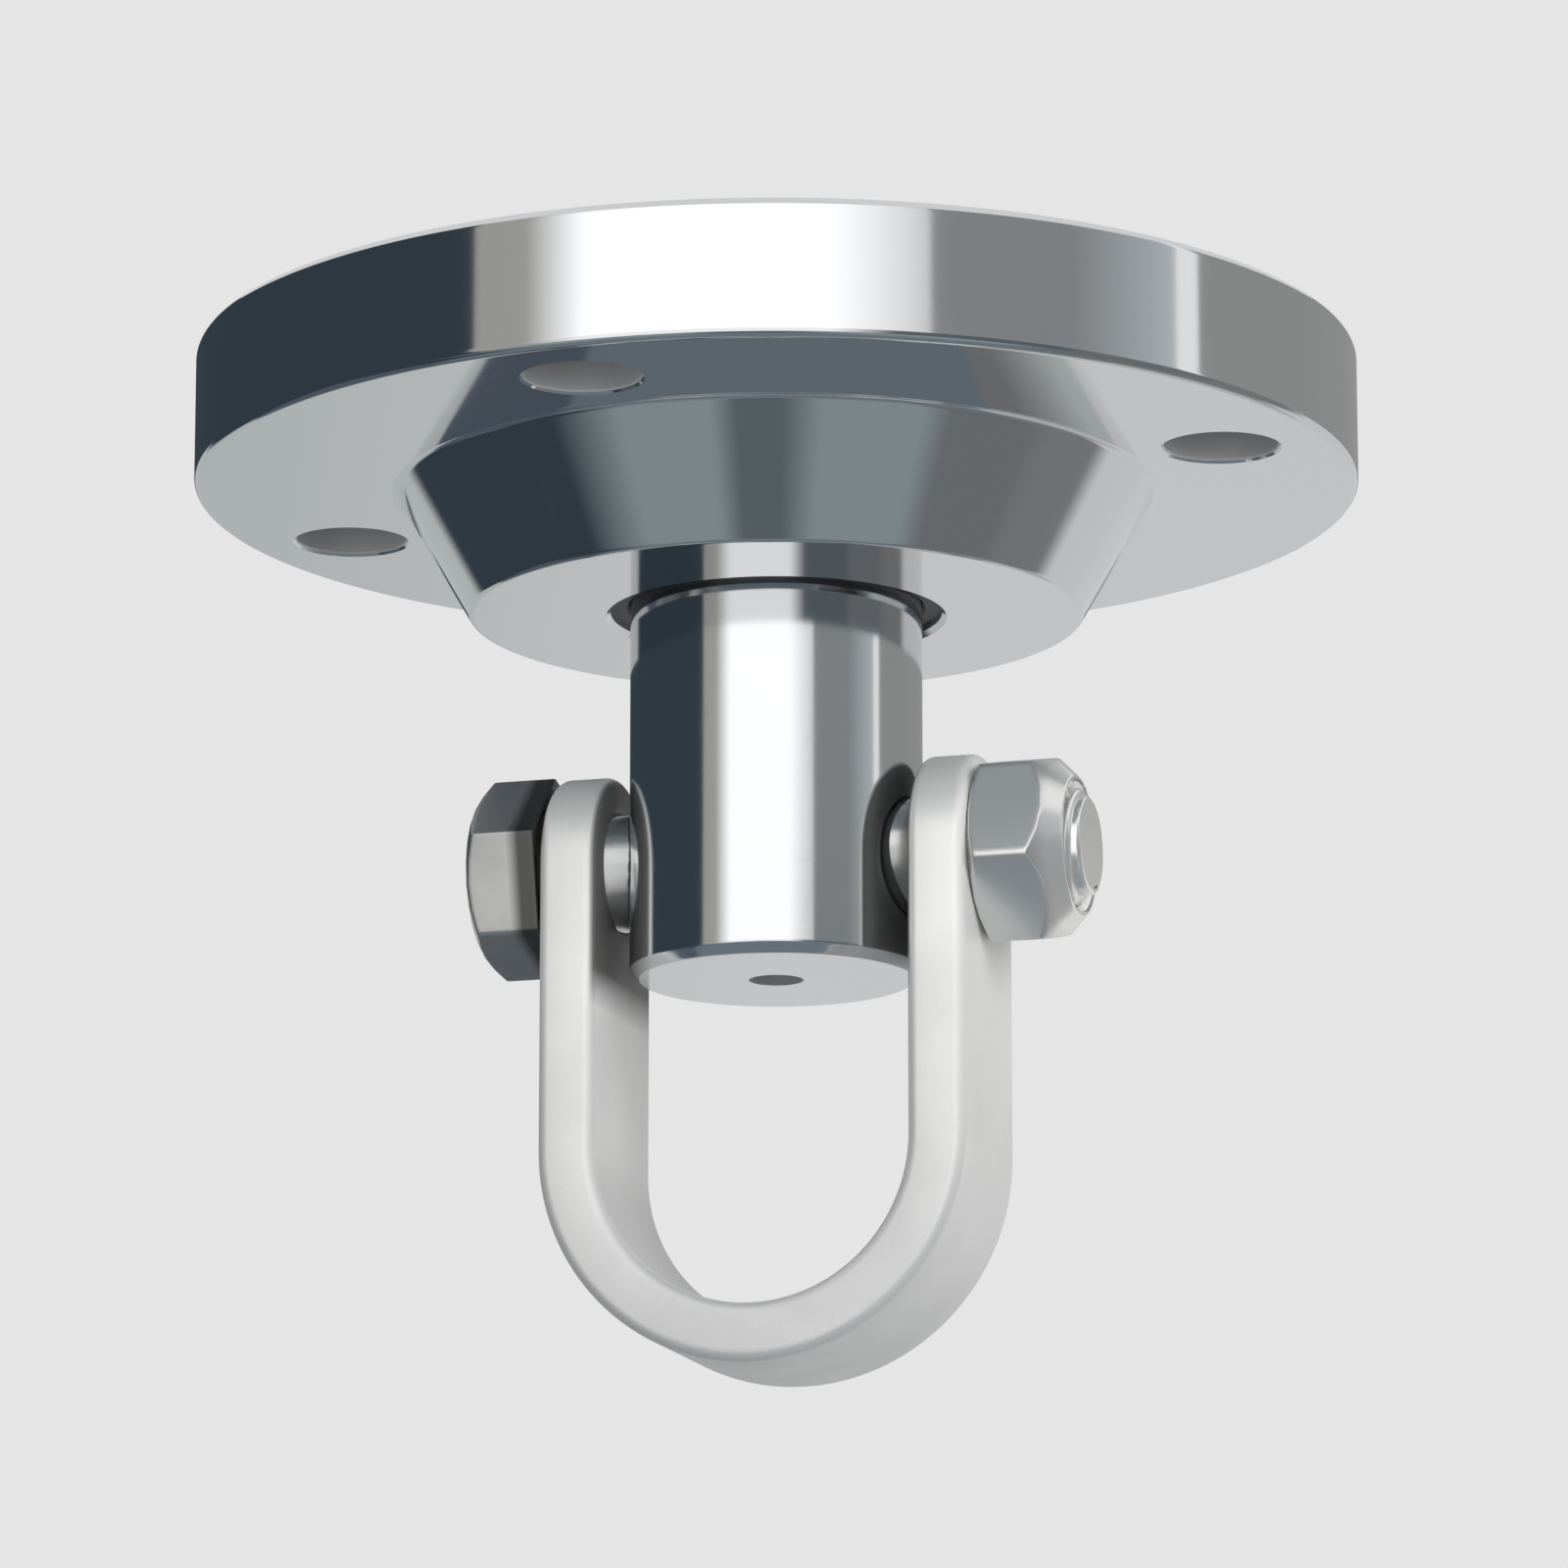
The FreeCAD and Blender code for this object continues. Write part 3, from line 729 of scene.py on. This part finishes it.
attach(spindle, "spindle")
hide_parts("spindle")
show_volume(spindle, "spindle")

# %% [markdown]
# ## The strap
#
# The real strap is a length of flat bar, rounded at both ends, punched, and bent cold round a former.
# It is made here in the same order. The blank is drawn flat, with its length along X, its width along Y
# and its thickness along Z, and its edges are bevelled. Then a tree bends it: a point keeps its
# distance along the bar, which becomes an angle in the bow and a height in the arms.

# %% Sizes of the strap
STRAP_THICKNESS = 0.006
STRAP_EDGE_ROUND = 0.0012
STRAP_EDGE_STEPS = 6
STRAP_HOLE_RADIUS = 0.0062
STRAP_HOLE_ROUND = 0.0004
STRAP_HOLE_STEPS = 3
DIRECTIONS = 64
BOW_STEPS = 96

strap_low, strap_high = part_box("shackle_strap")
half_width = strap_high.y
bend_radius = strap_high.x - STRAP_THICKNESS / 2
bow_centre = strap_low.z + strap_high.x
half_bow = bend_radius * math.pi / 2
hole_place = half_bow + bolt_height - bow_centre
bar_length = 2 * (hole_place + half_width)
print("bar length", round(bar_length * 1000, 1), "mm, bend radius", round(bend_radius * 1000, 2), "mm")

# %% Flat blank
SAME_POINT = 1e-6
PLACE_DIGITS = 7
CORNER_FROM = math.radians(60)


def strap_end(bm, side):
    """The round end of the bar about its bolt hole, as rings of quads; side is +1 or -1 along X."""
    corners = []
    for number in range(DIRECTIONS):
        angle = 2 * math.pi * number / DIRECTIONS
        x, y = math.cos(angle), math.sin(angle)
        reach = half_width if x >= 0 else half_width / max(abs(x), abs(y))
        row = [STRAP_HOLE_RADIUS, STRAP_HOLE_RADIUS + STRAP_EDGE_ROUND, reach]
        corners.append([bm.verts.new((side * (hole_place + r * x), r * y, 0)) for r in row])
    for number in range(DIRECTIONS):
        here, there = corners[number], corners[(number + 1) % DIRECTIONS]
        for ring in range(len(here) - 1):
            bm.faces.new((here[ring], here[ring + 1], there[ring + 1], there[ring]))


def strap_run(bm):
    """The bar between its two ends, with many steps where it will be bent."""
    arm_end = hole_place - half_width
    steps = [half_bow * (2 * number / BOW_STEPS - 1) for number in range(BOW_STEPS + 1)]
    stations = [-arm_end] + steps + [arm_end]
    eighth = DIRECTIONS // 8
    rows = [half_width * math.tan(2 * math.pi * k / DIRECTIONS) for k in range(-eighth, eighth + 1)]
    grid = [[bm.verts.new((x, y, 0)) for y in rows] for x in stations]
    for here, there in zip(grid, grid[1:]):
        for k in range(len(rows) - 1):
            bm.faces.new((here[k], there[k], there[k + 1], here[k + 1]))


def rim_edges(bm, at_hole):
    """The edges between the broad faces and the walls, either round the holes or round the outside."""
    picked = []
    for edge in bm.edges:
        if len(edge.link_faces) != 2 or edge.calc_face_angle() < CORNER_FROM:
            continue
        middle = (edge.verts[0].co + edge.verts[1].co) / 2
        if abs(edge.verts[0].co.z - edge.verts[1].co.z) > STRAP_THICKNESS / 2:
            continue
        from_hole = math.hypot(abs(middle.x) - hole_place, middle.y)
        if (from_hole < STRAP_HOLE_RADIUS + STRAP_HOLE_ROUND) == at_hole:
            picked.append(edge)
    return picked


def set_in_order(items, place_of):
    """Puts points or faces in the order of their places, so that every run gives the same mesh."""
    placed = sorted(items, key=lambda item: [round(value, PLACE_DIGITS) for value in place_of(item)])
    for number, item in enumerate(placed):
        item.index = number
    items.sort()


def strap_blank():
    """The flat bar: its outline raised to its thickness, with the outside and the holes rounded off."""
    bm = bmesh.new()
    strap_end(bm, 1)
    strap_end(bm, -1)
    strap_run(bm)
    bmesh.ops.remove_doubles(bm, verts=bm.verts, dist=SAME_POINT)
    raised = bmesh.ops.extrude_face_region(bm, geom=bm.faces[:])
    top = [item for item in raised["geom"] if isinstance(item, bmesh.types.BMVert)]
    bmesh.ops.translate(bm, verts=top, vec=(0, 0, STRAP_THICKNESS))
    bmesh.ops.translate(bm, verts=bm.verts, vec=(0, 0, -STRAP_THICKNESS / 2))
    bmesh.ops.recalc_face_normals(bm, faces=bm.faces)
    outside = (False, STRAP_EDGE_ROUND, STRAP_EDGE_STEPS)
    holes = (True, STRAP_HOLE_ROUND, STRAP_HOLE_STEPS)
    for at_hole, size, steps in (outside, holes):
        edges = rim_edges(bm, at_hole)
        bmesh.ops.bevel(bm, geom=edges, offset=size, segments=steps, profile=0.5, affect="EDGES")
    set_in_order(bm.verts, lambda vert: vert.co)
    set_in_order(bm.faces, lambda face: face.calc_center_median())
    mesh = bpy.data.meshes.new("strap_blank")
    bm.to_mesh(mesh)
    bm.free()
    return mesh


blank = strap_blank()
print("flat blank:", len(blank.vertices), "points")

# %% Bend the blank
bending, given = geometry_tree("bend_round_former", {
    "Bend radius": "Float",
    "Half bow": "Float",
    "Bow centre": "Float",
    "Material": "Material",
})
x, y, z = parts_of(bending, add_node(bending, "GeometryNodeInputPosition").outputs[0])
half = given["Half bow"]
in_bow = add_node(bending, "ShaderNodeClamp", {
    "Value": x,
    "Min": math_node(bending, "MULTIPLY", half, -1.0),
    "Max": half,
}).outputs[0]
beyond = math_node(bending, "SUBTRACT", x, in_bow)
angle = math_node(bending, "DIVIDE", in_bow, given["Bend radius"])
layer = math_node(bending, "SUBTRACT", given["Bend radius"], z)
sine = math_node(bending, "SINE", angle)
cosine = math_node(bending, "COSINE", angle)
out_x = math_node(bending, "MULTIPLY_ADD", beyond, cosine, math_node(bending, "MULTIPLY", layer, sine))
drop = math_node(bending, "MULTIPLY", layer, cosine)
on_bow = math_node(bending, "SUBTRACT", given["Bow centre"], drop)
out_z = math_node(bending, "MULTIPLY_ADD", beyond, sine, on_bow)
moved = add_node(bending, "GeometryNodeSetPosition", {
    "Geometry": given["Geometry"],
    "Position": vector_of(bending, out_x, y, out_z),
})
end_tree(bending, moved.outputs[0], given["Material"])

strap = run_tree("strap", bending, blank, **{
    "Bend radius": bend_radius,
    "Half bow": half_bow,
    "Bow centre": bow_centre,
    "Material": strap_zinc,
})
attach(strap, "shackle")
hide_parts("shackle_strap")

# %% [markdown]
# ## Bolt and nut
#
# A hexagon with a turned chamfer is easy to describe ring by ring: every ring has the same points round
# the axis, and a ring is either a circle or the hexagon. The chamfer is a cone, so the edge where it
# meets a flat lies further back the further the flat is from the axis. Narrow extra rings round off each
# edge, which gives the thin bright lines that real edges have.

# %% Hexagon outline
ACROSS_FLATS = 0.018
CORNER_ROUND = 0.0006
EDGE_SUPPORT = 0.0004
CORNER_STEPS = 3
EDGE_ROUND = 0.00016
CHAMFER_SLOPE = math.tan(math.radians(30))
CROWN_SLOPE = math.tan(math.radians(45))
on_bolt_axis = Vector((0, 0, bolt_height))


def heading(angle):
    """The direction (y, z) at an angle from straight up."""
    return Vector((math.sin(angle), math.cos(angle)))


def hexagon(turn):
    """Points (y, z) round a hexagon with rounded corners; turn 0 has corners up and down."""
    apothem = ACROSS_FLATS / 2
    side = math.radians(60)
    reach = (apothem - CORNER_ROUND) * math.tan(side / 2)
    across = [-reach, EDGE_SUPPORT - reach, -reach / 2, 0, reach / 2, reach - EDGE_SUPPORT, reach]
    points = []
    for number in range(6):
        flat = turn + side * (number + 0.5)
        out = heading(flat)
        along = Vector((out.y, -out.x))
        points += [out * apothem + along * u for u in across]
        middle = heading(flat + side / 2) * (apothem - CORNER_ROUND) / math.cos(side / 2)
        for step in range(1, CORNER_STEPS):
            points.append(middle + heading(flat + side * step / CORNER_STEPS) * CORNER_ROUND)
    return points


def circle_ring(outline, x, radius):
    """A circle at x, with a point in the direction of each point of the outline."""
    return [Vector((x, *(p.normalized() * radius))) + on_bolt_axis for p in outline]


def hexagon_ring(outline, x_of, inset=0.0):
    """The outline drawn in by inset; x_of gives a point's place along the bolt from its radius."""
    ring = []
    for p in outline:
        radius = p.length - inset
        ring.append(Vector((x_of(p.length), *(p.normalized() * radius))) + on_bolt_axis)
    return ring


def hexagon_rings(outline, foot, face, face_radius, slope=CHAMFER_SLOPE):
    """Rings of a hexagon from its foot to its chamfered face, at x foot and x face."""
    way = 1.0 if face > foot else -1.0
    e = EDGE_ROUND

    def edge(radius):
        return face - way * (radius - face_radius) * slope

    lean = math.hypot(1, slope)
    return [
        hexagon_ring(outline, lambda r: foot, 3 * e),
        hexagon_ring(outline, lambda r: foot, e),
        hexagon_ring(outline, lambda r: foot + way * 0.3 * e, 0.3 * e),
        hexagon_ring(outline, lambda r: foot + way * e),
        hexagon_ring(outline, lambda r: foot + way * 3 * e),
        hexagon_ring(outline, lambda r: edge(r) - way * 3 * e),
        hexagon_ring(outline, lambda r: edge(r) - way * e),
        hexagon_ring(outline, lambda r: edge(r) - way * 0.1 * e, 0.2 * e),
        hexagon_ring(outline, lambda r: edge(r) + way * e * slope / lean, e / lean),
        hexagon_ring(outline, lambda r: edge(r) + way * 3 * e * slope / lean, 3 * e / lean),
        circle_ring(outline, face - way * e * slope, face_radius + e),
        circle_ring(outline, face - way * 0.1 * e, face_radius),
        circle_ring(outline, face, face_radius - e),
        circle_ring(outline, face, face_radius - 3 * e),
    ]


# %% [markdown]
# The thread is a ridge that winds round the core of the bolt, so a tree makes it: a spiral curve, a
# narrow profile swept along it, and a last rule that trims the ridge to the cone at the bolt's point.
# Only the end that stands out of the nut is seen, and the ridge starts inside the strap.

# %% Thread tree
THREAD_PITCH = 0.00175
THREAD_MAJOR = 0.00597
THREAD_MINOR = 0.00508
THREAD_START = 0.0175
POINT_CHAMFER = 0.0011
STEPS_PER_TURN = 96
RIDGE_FOOT = 0.8
RIDGE_TOP = 0.14

threading, given = geometry_tree("wind_thread", {
    "Pitch": "Float",
    "Minor radius": "Float",
    "Major radius": "Float",
    "Length": "Float",
    "Chamfer": "Float",
    "Start": "Vector",
    "Material": "Material",
})
turns = math_node(threading, "DIVIDE", given["Length"], given["Pitch"])
spiral = add_node(threading, "GeometryNodeCurveSpiral", {
    "Resolution": STEPS_PER_TURN,
    "Rotations": turns,
    "Start Radius": given["Minor radius"],
    "End Radius": given["Minor radius"],
    "Height": given["Length"],
})
upright = add_node(threading, "GeometryNodeSetCurveNormal", {"Curve": spiral.outputs[0]}, mode="Z_UP")
major, minor = given["Major radius"], given["Minor radius"]
ridge_height = math_node(threading, "SUBTRACT", major, minor)
profile = add_node(threading, "GeometryNodeCurvePrimitiveQuadrilateral", {
    "Bottom Width": math_node(threading, "MULTIPLY", given["Pitch"], RIDGE_FOOT),
    "Top Width": math_node(threading, "MULTIPLY", given["Pitch"], RIDGE_TOP),
    "Height": math_node(threading, "MULTIPLY", ridge_height, 2.0),
    "Offset": 0.0,
}, mode="TRAPEZOID")
turned_profile = add_node(threading, "GeometryNodeTransform", {
    "Geometry": profile.outputs[0],
    "Rotation": (0.0, 0.0, math.radians(90)),
})
ridge = add_node(threading, "GeometryNodeCurveToMesh", {
    "Curve": upright.outputs[0],
    "Profile Curve": turned_profile.outputs[0],
    "Fill Caps": True,
})
x, y, z = parts_of(threading, add_node(threading, "GeometryNodeInputPosition").outputs[0])
to_point = math_node(threading, "SUBTRACT", given["Length"], z)
cone_foot = math_node(threading, "SUBTRACT", major, given["Chamfer"])
cone = math_node(threading, "ADD", cone_foot, to_point)
to_cone = math_node(threading, "DIVIDE", cone, radius_of(threading, x, y))
shrink = math_node(threading, "MINIMUM", to_cone, 1.0)
trimmed = vector_of(
    threading,
    math_node(threading, "MULTIPLY", x, shrink),
    math_node(threading, "MULTIPLY", y, shrink),
    math_node(threading, "MINIMUM", z, given["Length"]),
)
moved = add_node(threading, "GeometryNodeSetPosition", {"Geometry": ridge.outputs[0], "Position": trimmed})
laid = add_node(threading, "GeometryNodeTransform", {
    "Geometry": moved.outputs[0],
    "Translation": given["Start"],
    "Rotation": (0.0, math.radians(90), 0.0),
})
end_tree(threading, laid.outputs[0], given["Material"])

# %% Bolt
BOLT_RADIUS = 0.006
WASHER_FACE_RADIUS = 0.00828
WASHER_FACE_HEIGHT = 0.0006
HEAD_FACE_RADIUS = 0.00855
HEAD_TURN = math.radians(-13)
THREAD_RUN_OUT = 0.001

bolt_low, bolt_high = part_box("shackle_bolt")
strap_side = strap_high.x
head_foot = -strap_side - WASHER_FACE_HEIGHT
outline = hexagon(HEAD_TURN)
head_rings = hexagon_rings(outline, head_foot, bolt_low.x, HEAD_FACE_RADIUS)
point = bolt_high.x
shank = [
    (point, THREAD_MINOR - 4 * EDGE_ROUND),
    (point, THREAD_MINOR - 2 * EDGE_ROUND),
    (point - EDGE_ROUND, THREAD_MINOR - EDGE_ROUND / 2),
    (point - 3 * EDGE_ROUND, THREAD_MINOR),
    (THREAD_START + THREAD_RUN_OUT, THREAD_MINOR),
    (THREAD_START, BOLT_RADIUS),
    (-strap_side, BOLT_RADIUS),
    (-strap_side, WASHER_FACE_RADIUS - EDGE_ROUND),
    (-strap_side - EDGE_ROUND, WASHER_FACE_RADIUS),
    (head_foot, WASHER_FACE_RADIUS),
]
bolt_rings = [circle_ring(outline, x, r) for x, r in shank] + head_rings
bolt_mesh = skin("bolt", bolt_rings, fastener_zinc)

bolt = run_tree("bolt", threading, bpy.data.meshes.new("thread_start"), **{
    "Pitch": THREAD_PITCH,
    "Minor radius": THREAD_MINOR,
    "Major radius": THREAD_MAJOR,
    "Length": point - THREAD_START,
    "Chamfer": POINT_CHAMFER,
    "Start": (THREAD_START, 0.0, bolt_height),
    "Material": fastener_zinc,
})
reach = [math.hypot(v.co.y, v.co.z - bolt_height) for v in bolt.data.vertices]
print("thread from", round(min(reach) * 1000, 2), "to", round(max(reach) * 1000, 2), "mm from the axis")

both = bmesh.new()
both.from_mesh(bolt.data)
both.from_mesh(bolt_mesh)
both.to_mesh(bolt.data)
both.free()
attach(bolt, "shackle")
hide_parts("shackle_bolt")

# %% Nut
# Two hexagons stand foot to foot in the middle of the nut, without the rings that would round their feet.
FOOT_RINGS = 5
NUT_TURN = math.radians(16)
NUT_FOOT_FACE_RADIUS = 0.00855
NUT_CROWN_RADIUS = 0.0072
NUT_BORE_MOUTH = 0.0066
NUT_BORE_RADIUS = 0.0054

nut_low, nut_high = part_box("shackle_nut")
outline = hexagon(NUT_TURN)
middle = (nut_low.x + nut_high.x) / 2
foot_rings = hexagon_rings(outline, middle, nut_low.x, NUT_FOOT_FACE_RADIUS)
crown_rings = hexagon_rings(outline, middle, nut_high.x, NUT_CROWN_RADIUS, CROWN_SLOPE)
bore = [
    (nut_high.x, NUT_BORE_MOUTH + EDGE_ROUND),
    (nut_high.x - EDGE_ROUND, NUT_BORE_MOUTH),
    (nut_high.x - (NUT_BORE_MOUTH - NUT_BORE_RADIUS), NUT_BORE_RADIUS),
    (nut_low.x + (NUT_BORE_MOUTH - NUT_BORE_RADIUS), NUT_BORE_RADIUS),
    (nut_low.x, NUT_BORE_MOUTH),
]
bore_rings = [circle_ring(outline, x, r) for x, r in bore]
nut_rings = foot_rings[:FOOT_RINGS - 1:-1] + crown_rings[FOOT_RINGS:] + bore_rings
nut = add_object("nut", skin("nut", nut_rings, fastener_zinc, ends_meet=True))
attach(nut, "shackle")
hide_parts("shackle_nut")
print("nut:", len(nut.data.polygons), "faces")

# %% [markdown]
# ## Bearing balls
#
# The balls all have one size and stand evenly on a circle, so a tree sets a point for each, turns the
# point's number into an angle and puts a ball there. They ride with the cage.

# %% Balls
BALL_SUBDIVISIONS = 4

ball_names = sorted(name for name in nodes if name.startswith("bearing_ball_"))
ball_low, ball_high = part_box(ball_names[0])
ball_centre = (ball_low + ball_high) / 2

balling, given = geometry_tree("balls_on_circle", {
    "Count": "Int",
    "Circle radius": "Float",
    "Ball radius": "Float",
    "Height": "Float",
    "Material": "Material",
})
places = points_on_circle(
    balling, given["Count"], given["Circle radius"], height=given["Height"])
ball = add_node(balling, "GeometryNodeMeshIcoSphere", {
    "Radius": given["Ball radius"],
    "Subdivisions": BALL_SUBDIVISIONS,
})
placed = add_node(balling, "GeometryNodeInstanceOnPoints", {
    "Points": places,
    "Instance": ball.outputs[0],
})
end_tree(balling, placed.outputs[0], given["Material"])

balls = run_tree("bearing_balls", balling, bpy.data.meshes.new("balls_start"), **{
    "Count": len(ball_names),
    "Circle radius": math.hypot(ball_centre.x, ball_centre.y),
    "Ball radius": (ball_high.z - ball_low.z) / 2,
    "Height": ball_centre.z,
    "Material": bearing_steel,
})
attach(balls, "ball_cage")
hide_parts(*ball_names)

# %% [markdown]
# ## Floor, sky and lamps
#
# The hook hangs in a pale room. The sky and two large soft lamps light the dull surfaces evenly, at a
# level where a colour comes out about as it is written. A pale background could come from more light,
# but that would bleach the hook, so the sky and the floor are only shown brighter than they shine: what
# the camera and the mirrors see of them has a strength of its own. The floor still takes shadows.

# %% Floor and sky
PALE = (0.783, 0.783, 0.783)
SKY_LIGHT = 0.74
FLOOR_HEIGHT = -1.1
FLOOR_SIZE = 14.0
FLOOR_LIFT = 0.3
FLOOR_ROUGHNESS = 0.9


def seen_directly(tree):
    """1 for rays that show the background: straight from the camera, in a mirror or through glass."""
    rays = add_node(tree, "ShaderNodeLightPath").outputs
    seen = math_node(tree, "MAXIMUM", rays["Is Camera Ray"], rays["Is Glossy Ray"])
    return math_node(tree, "MAXIMUM", seen, rays["Is Transmission Ray"])


floor_mesh = bpy.data.meshes.new("floor")
floor_bm = bmesh.new()
bmesh.ops.create_grid(floor_bm, x_segments=1, y_segments=1, size=FLOOR_SIZE / 2)
bmesh.ops.translate(floor_bm, verts=floor_bm.verts, vec=(0, 0, FLOOR_HEIGHT))
floor_bm.to_mesh(floor_mesh)
floor_bm.free()
floor = add_object("floor", floor_mesh)
floor_paint, tree, shader, place = new_finish("floor_paint", PALE, 0.0)
shader.inputs["Roughness"].default_value = FLOOR_ROUGHNESS
shader.inputs["Emission Color"].default_value = (*PALE, 1.0)
lift = math_node(tree, "MULTIPLY", seen_directly(tree), FLOOR_LIFT)
tree.links.new(lift, shader.inputs["Emission Strength"])
floor_mesh.materials.append(floor_paint)

sky = bpy.data.worlds.new("sky")
sky.use_nodes = True
scene.world = sky
tree = sky.node_tree
strength = add_node(tree, "ShaderNodeMix", {
    "Factor": seen_directly(tree),
    "A": SKY_LIGHT,
    "B": 1.0,
}, data_type="FLOAT")
background = tree.nodes["Background"]
background.inputs["Color"].default_value = (*PALE, 1.0)
tree.links.new(strength.outputs["Result"], background.inputs["Strength"])
print("floor at", FLOOR_HEIGHT, "m, sky light", SKY_LIGHT)

# %% Lamps


def way_from_hook(azimuth, elevation):
    """A direction, in degrees; azimuth 0 is the camera's side and positive is to its right."""
    turn = CAMERA_TURN + math.radians(azimuth)
    rise = math.radians(elevation)
    return Vector((math.sin(turn) * math.cos(rise), -math.cos(turn) * math.cos(rise), math.sin(rise)))


def soft_lamp(name, azimuth, elevation, distance, size, power):
    """A square lamp aimed at the hook, which mirrors and the camera don't see."""
    away = way_from_hook(azimuth, elevation)
    lamp = add_object(name, bpy.data.lights.new(name, "AREA"))
    lamp.data.size = size
    lamp.data.energy = power
    lamp.location = away * distance
    lamp.rotation_euler = away.to_track_quat("Z", "Y").to_euler()
    lamp.visible_glossy = False
    lamp.visible_camera = False


soft_lamp("key_lamp", azimuth=41, elevation=12, distance=1.6, size=1.2, power=16.0)
soft_lamp("fill_lamp", azimuth=-50, elevation=30, distance=1.8, size=1.2, power=1.5)
print("lamps:", len(bpy.data.lights))

# %% [markdown]
# ## A painted screen for the chrome
#
# Chrome has no colour of its own: it is as handsome as what stands round it. A photographer hangs white
# and dark cards about such a piece. Here one screen in four bands does the same, each band a ring of
# tones that meet in a hard edge or fade into each other. White stands in front, dark at the left and
# greys at the right. The band below is dusky, which gives the hub its depth. Only mirror rays see the
# screen, so it lights nothing, throws no shadow and isn't in the picture, and the lamps are left out of
# the mirrors in return.

# %% Tones and bands
SCREEN_DISTANCE = 1.05
SCREEN_STEP = 5.0
SCREEN_ROWS = 3

NAVY = (0.037, 0.052, 0.068)
BEIGE = (0.40, 0.395, 0.365)
WHITE = (1.35, 1.35, 1.35)
BRIGHT = (1.1, 1.1, 1.1)
SOFT_WHITE = (0.95, 0.95, 0.95)
DIM_WHITE = (0.76, 0.77, 0.77)
SLATE = (0.27, 0.28, 0.285)
STEEL_BLUE = (0.50, 0.54, 0.56)
GREY = (0.31, 0.31, 0.305)
MOSS = (0.26, 0.31, 0.325)
LEAD = (0.113, 0.138, 0.152)
UMBER = (0.17, 0.18, 0.187)
STONE = (0.215, 0.215, 0.215)
DUSK = (0.09, 0.11, 0.14)
BLUE_SHADE = (0.17, 0.21, 0.24)
CHALK = (0.66, 0.66, 0.66)
ASH = (0.51, 0.535, 0.53)

# Per band: lowest and highest elevation, then (azimuth, tone) stops from the back left round to the back
# right, in degrees as for the lamps. Two stops at one azimuth make a hard edge.
BANDS = {
    "upper": (7, 27, [
        (-180, NAVY), (-59, NAVY), (-59, BEIGE), (-48, BEIGE), (-36, WHITE),
        (10, WHITE), (29, DIM_WHITE), (29, SLATE), (58, SLATE), (82, STEEL_BLUE), (82, SOFT_WHITE),
        (88, SOFT_WHITE), (88, GREY), (180, GREY),
    ]),
    "middle": (-30, 7, [
        (-180, CHALK), (-173, ASH), (-144, ASH), (-138, NAVY), (-59, NAVY), (-59, BEIGE), (-48, BEIGE),
        (-36, BRIGHT), (10, BRIGHT), (22, LEAD), (55, LEAD), (60, UMBER), (86, UMBER), (96, STONE),
        (114, STONE), (121, CHALK), (180, CHALK),
    ]),
    "lower": (-56, -30, [
        (-180, DUSK), (-105, DUSK), (-95, NAVY), (-77, NAVY), (-54, MOSS), (-23, MOSS), (-14, LEAD),
        (2, LEAD), (16, MOSS), (51, MOSS), (60, UMBER), (86, UMBER), (96, STONE), (114, STONE),
        (142, ASH), (180, ASH),
    ]),
    "bottom": (-90, -56, [(-180, BLUE_SHADE), (180, BLUE_SHADE)]),
}

# %% Screen


def screen_band(name, low, high, stops):
    """The mesh of one band, with its tones as a colour attribute."""
    points, tones, faces = [], [], []
    for (start, start_tone), (end, end_tone) in zip(stops, stops[1:]):
        steps = math.ceil((end - start) / SCREEN_STEP)
        for step in range(steps + 1 if steps else 0):
            share = step / steps
            tone = [a + (b - a) * share for a, b in zip(start_tone, end_tone)]
            for row in range(SCREEN_ROWS + 1):
                elevation = low + (high - low) * row / SCREEN_ROWS
                way = way_from_hook(start + (end - start) * share, elevation)
                points.append(way * SCREEN_DISTANCE)
                tones.append((*tone, 1.0))
            if step:
                first = len(points) - 2 * (SCREEN_ROWS + 1)
                for k in range(first, first + SCREEN_ROWS):
                    faces.append((k, k + 1, k + SCREEN_ROWS + 2, k + SCREEN_ROWS + 1))
    mesh = bpy.data.meshes.new(name)
    mesh.from_pydata(points, [], faces)
    paint = mesh.attributes.new("tone", "FLOAT_COLOR", "POINT")
    for item, tone in zip(paint.data, tones):
        item.color = tone
    return mesh


screen_paint = bpy.data.materials.new("screen_paint")
screen_paint.use_nodes = True
tree = screen_paint.node_tree
tree.nodes.clear()
tone = add_node(tree, "ShaderNodeAttribute", attribute_name="tone")
glow = add_node(tree, "ShaderNodeEmission", {"Color": tone.outputs["Color"]})
add_node(tree, "ShaderNodeOutputMaterial", {"Surface": glow.outputs[0]})
screen_paint.cycles.emission_sampling = "NONE"

for name, (low, high, stops) in BANDS.items():
    band = add_object("screen_" + name, screen_band("screen_" + name, low, high, stops))
    band.data.materials.append(screen_paint)
    for ray in ("camera", "diffuse", "transmission", "volume_scatter", "shadow"):
        setattr(band, "visible_" + ray, False)
    print("band", name, "from", low, "to", high, "degrees,", len(band.data.polygons), "faces")
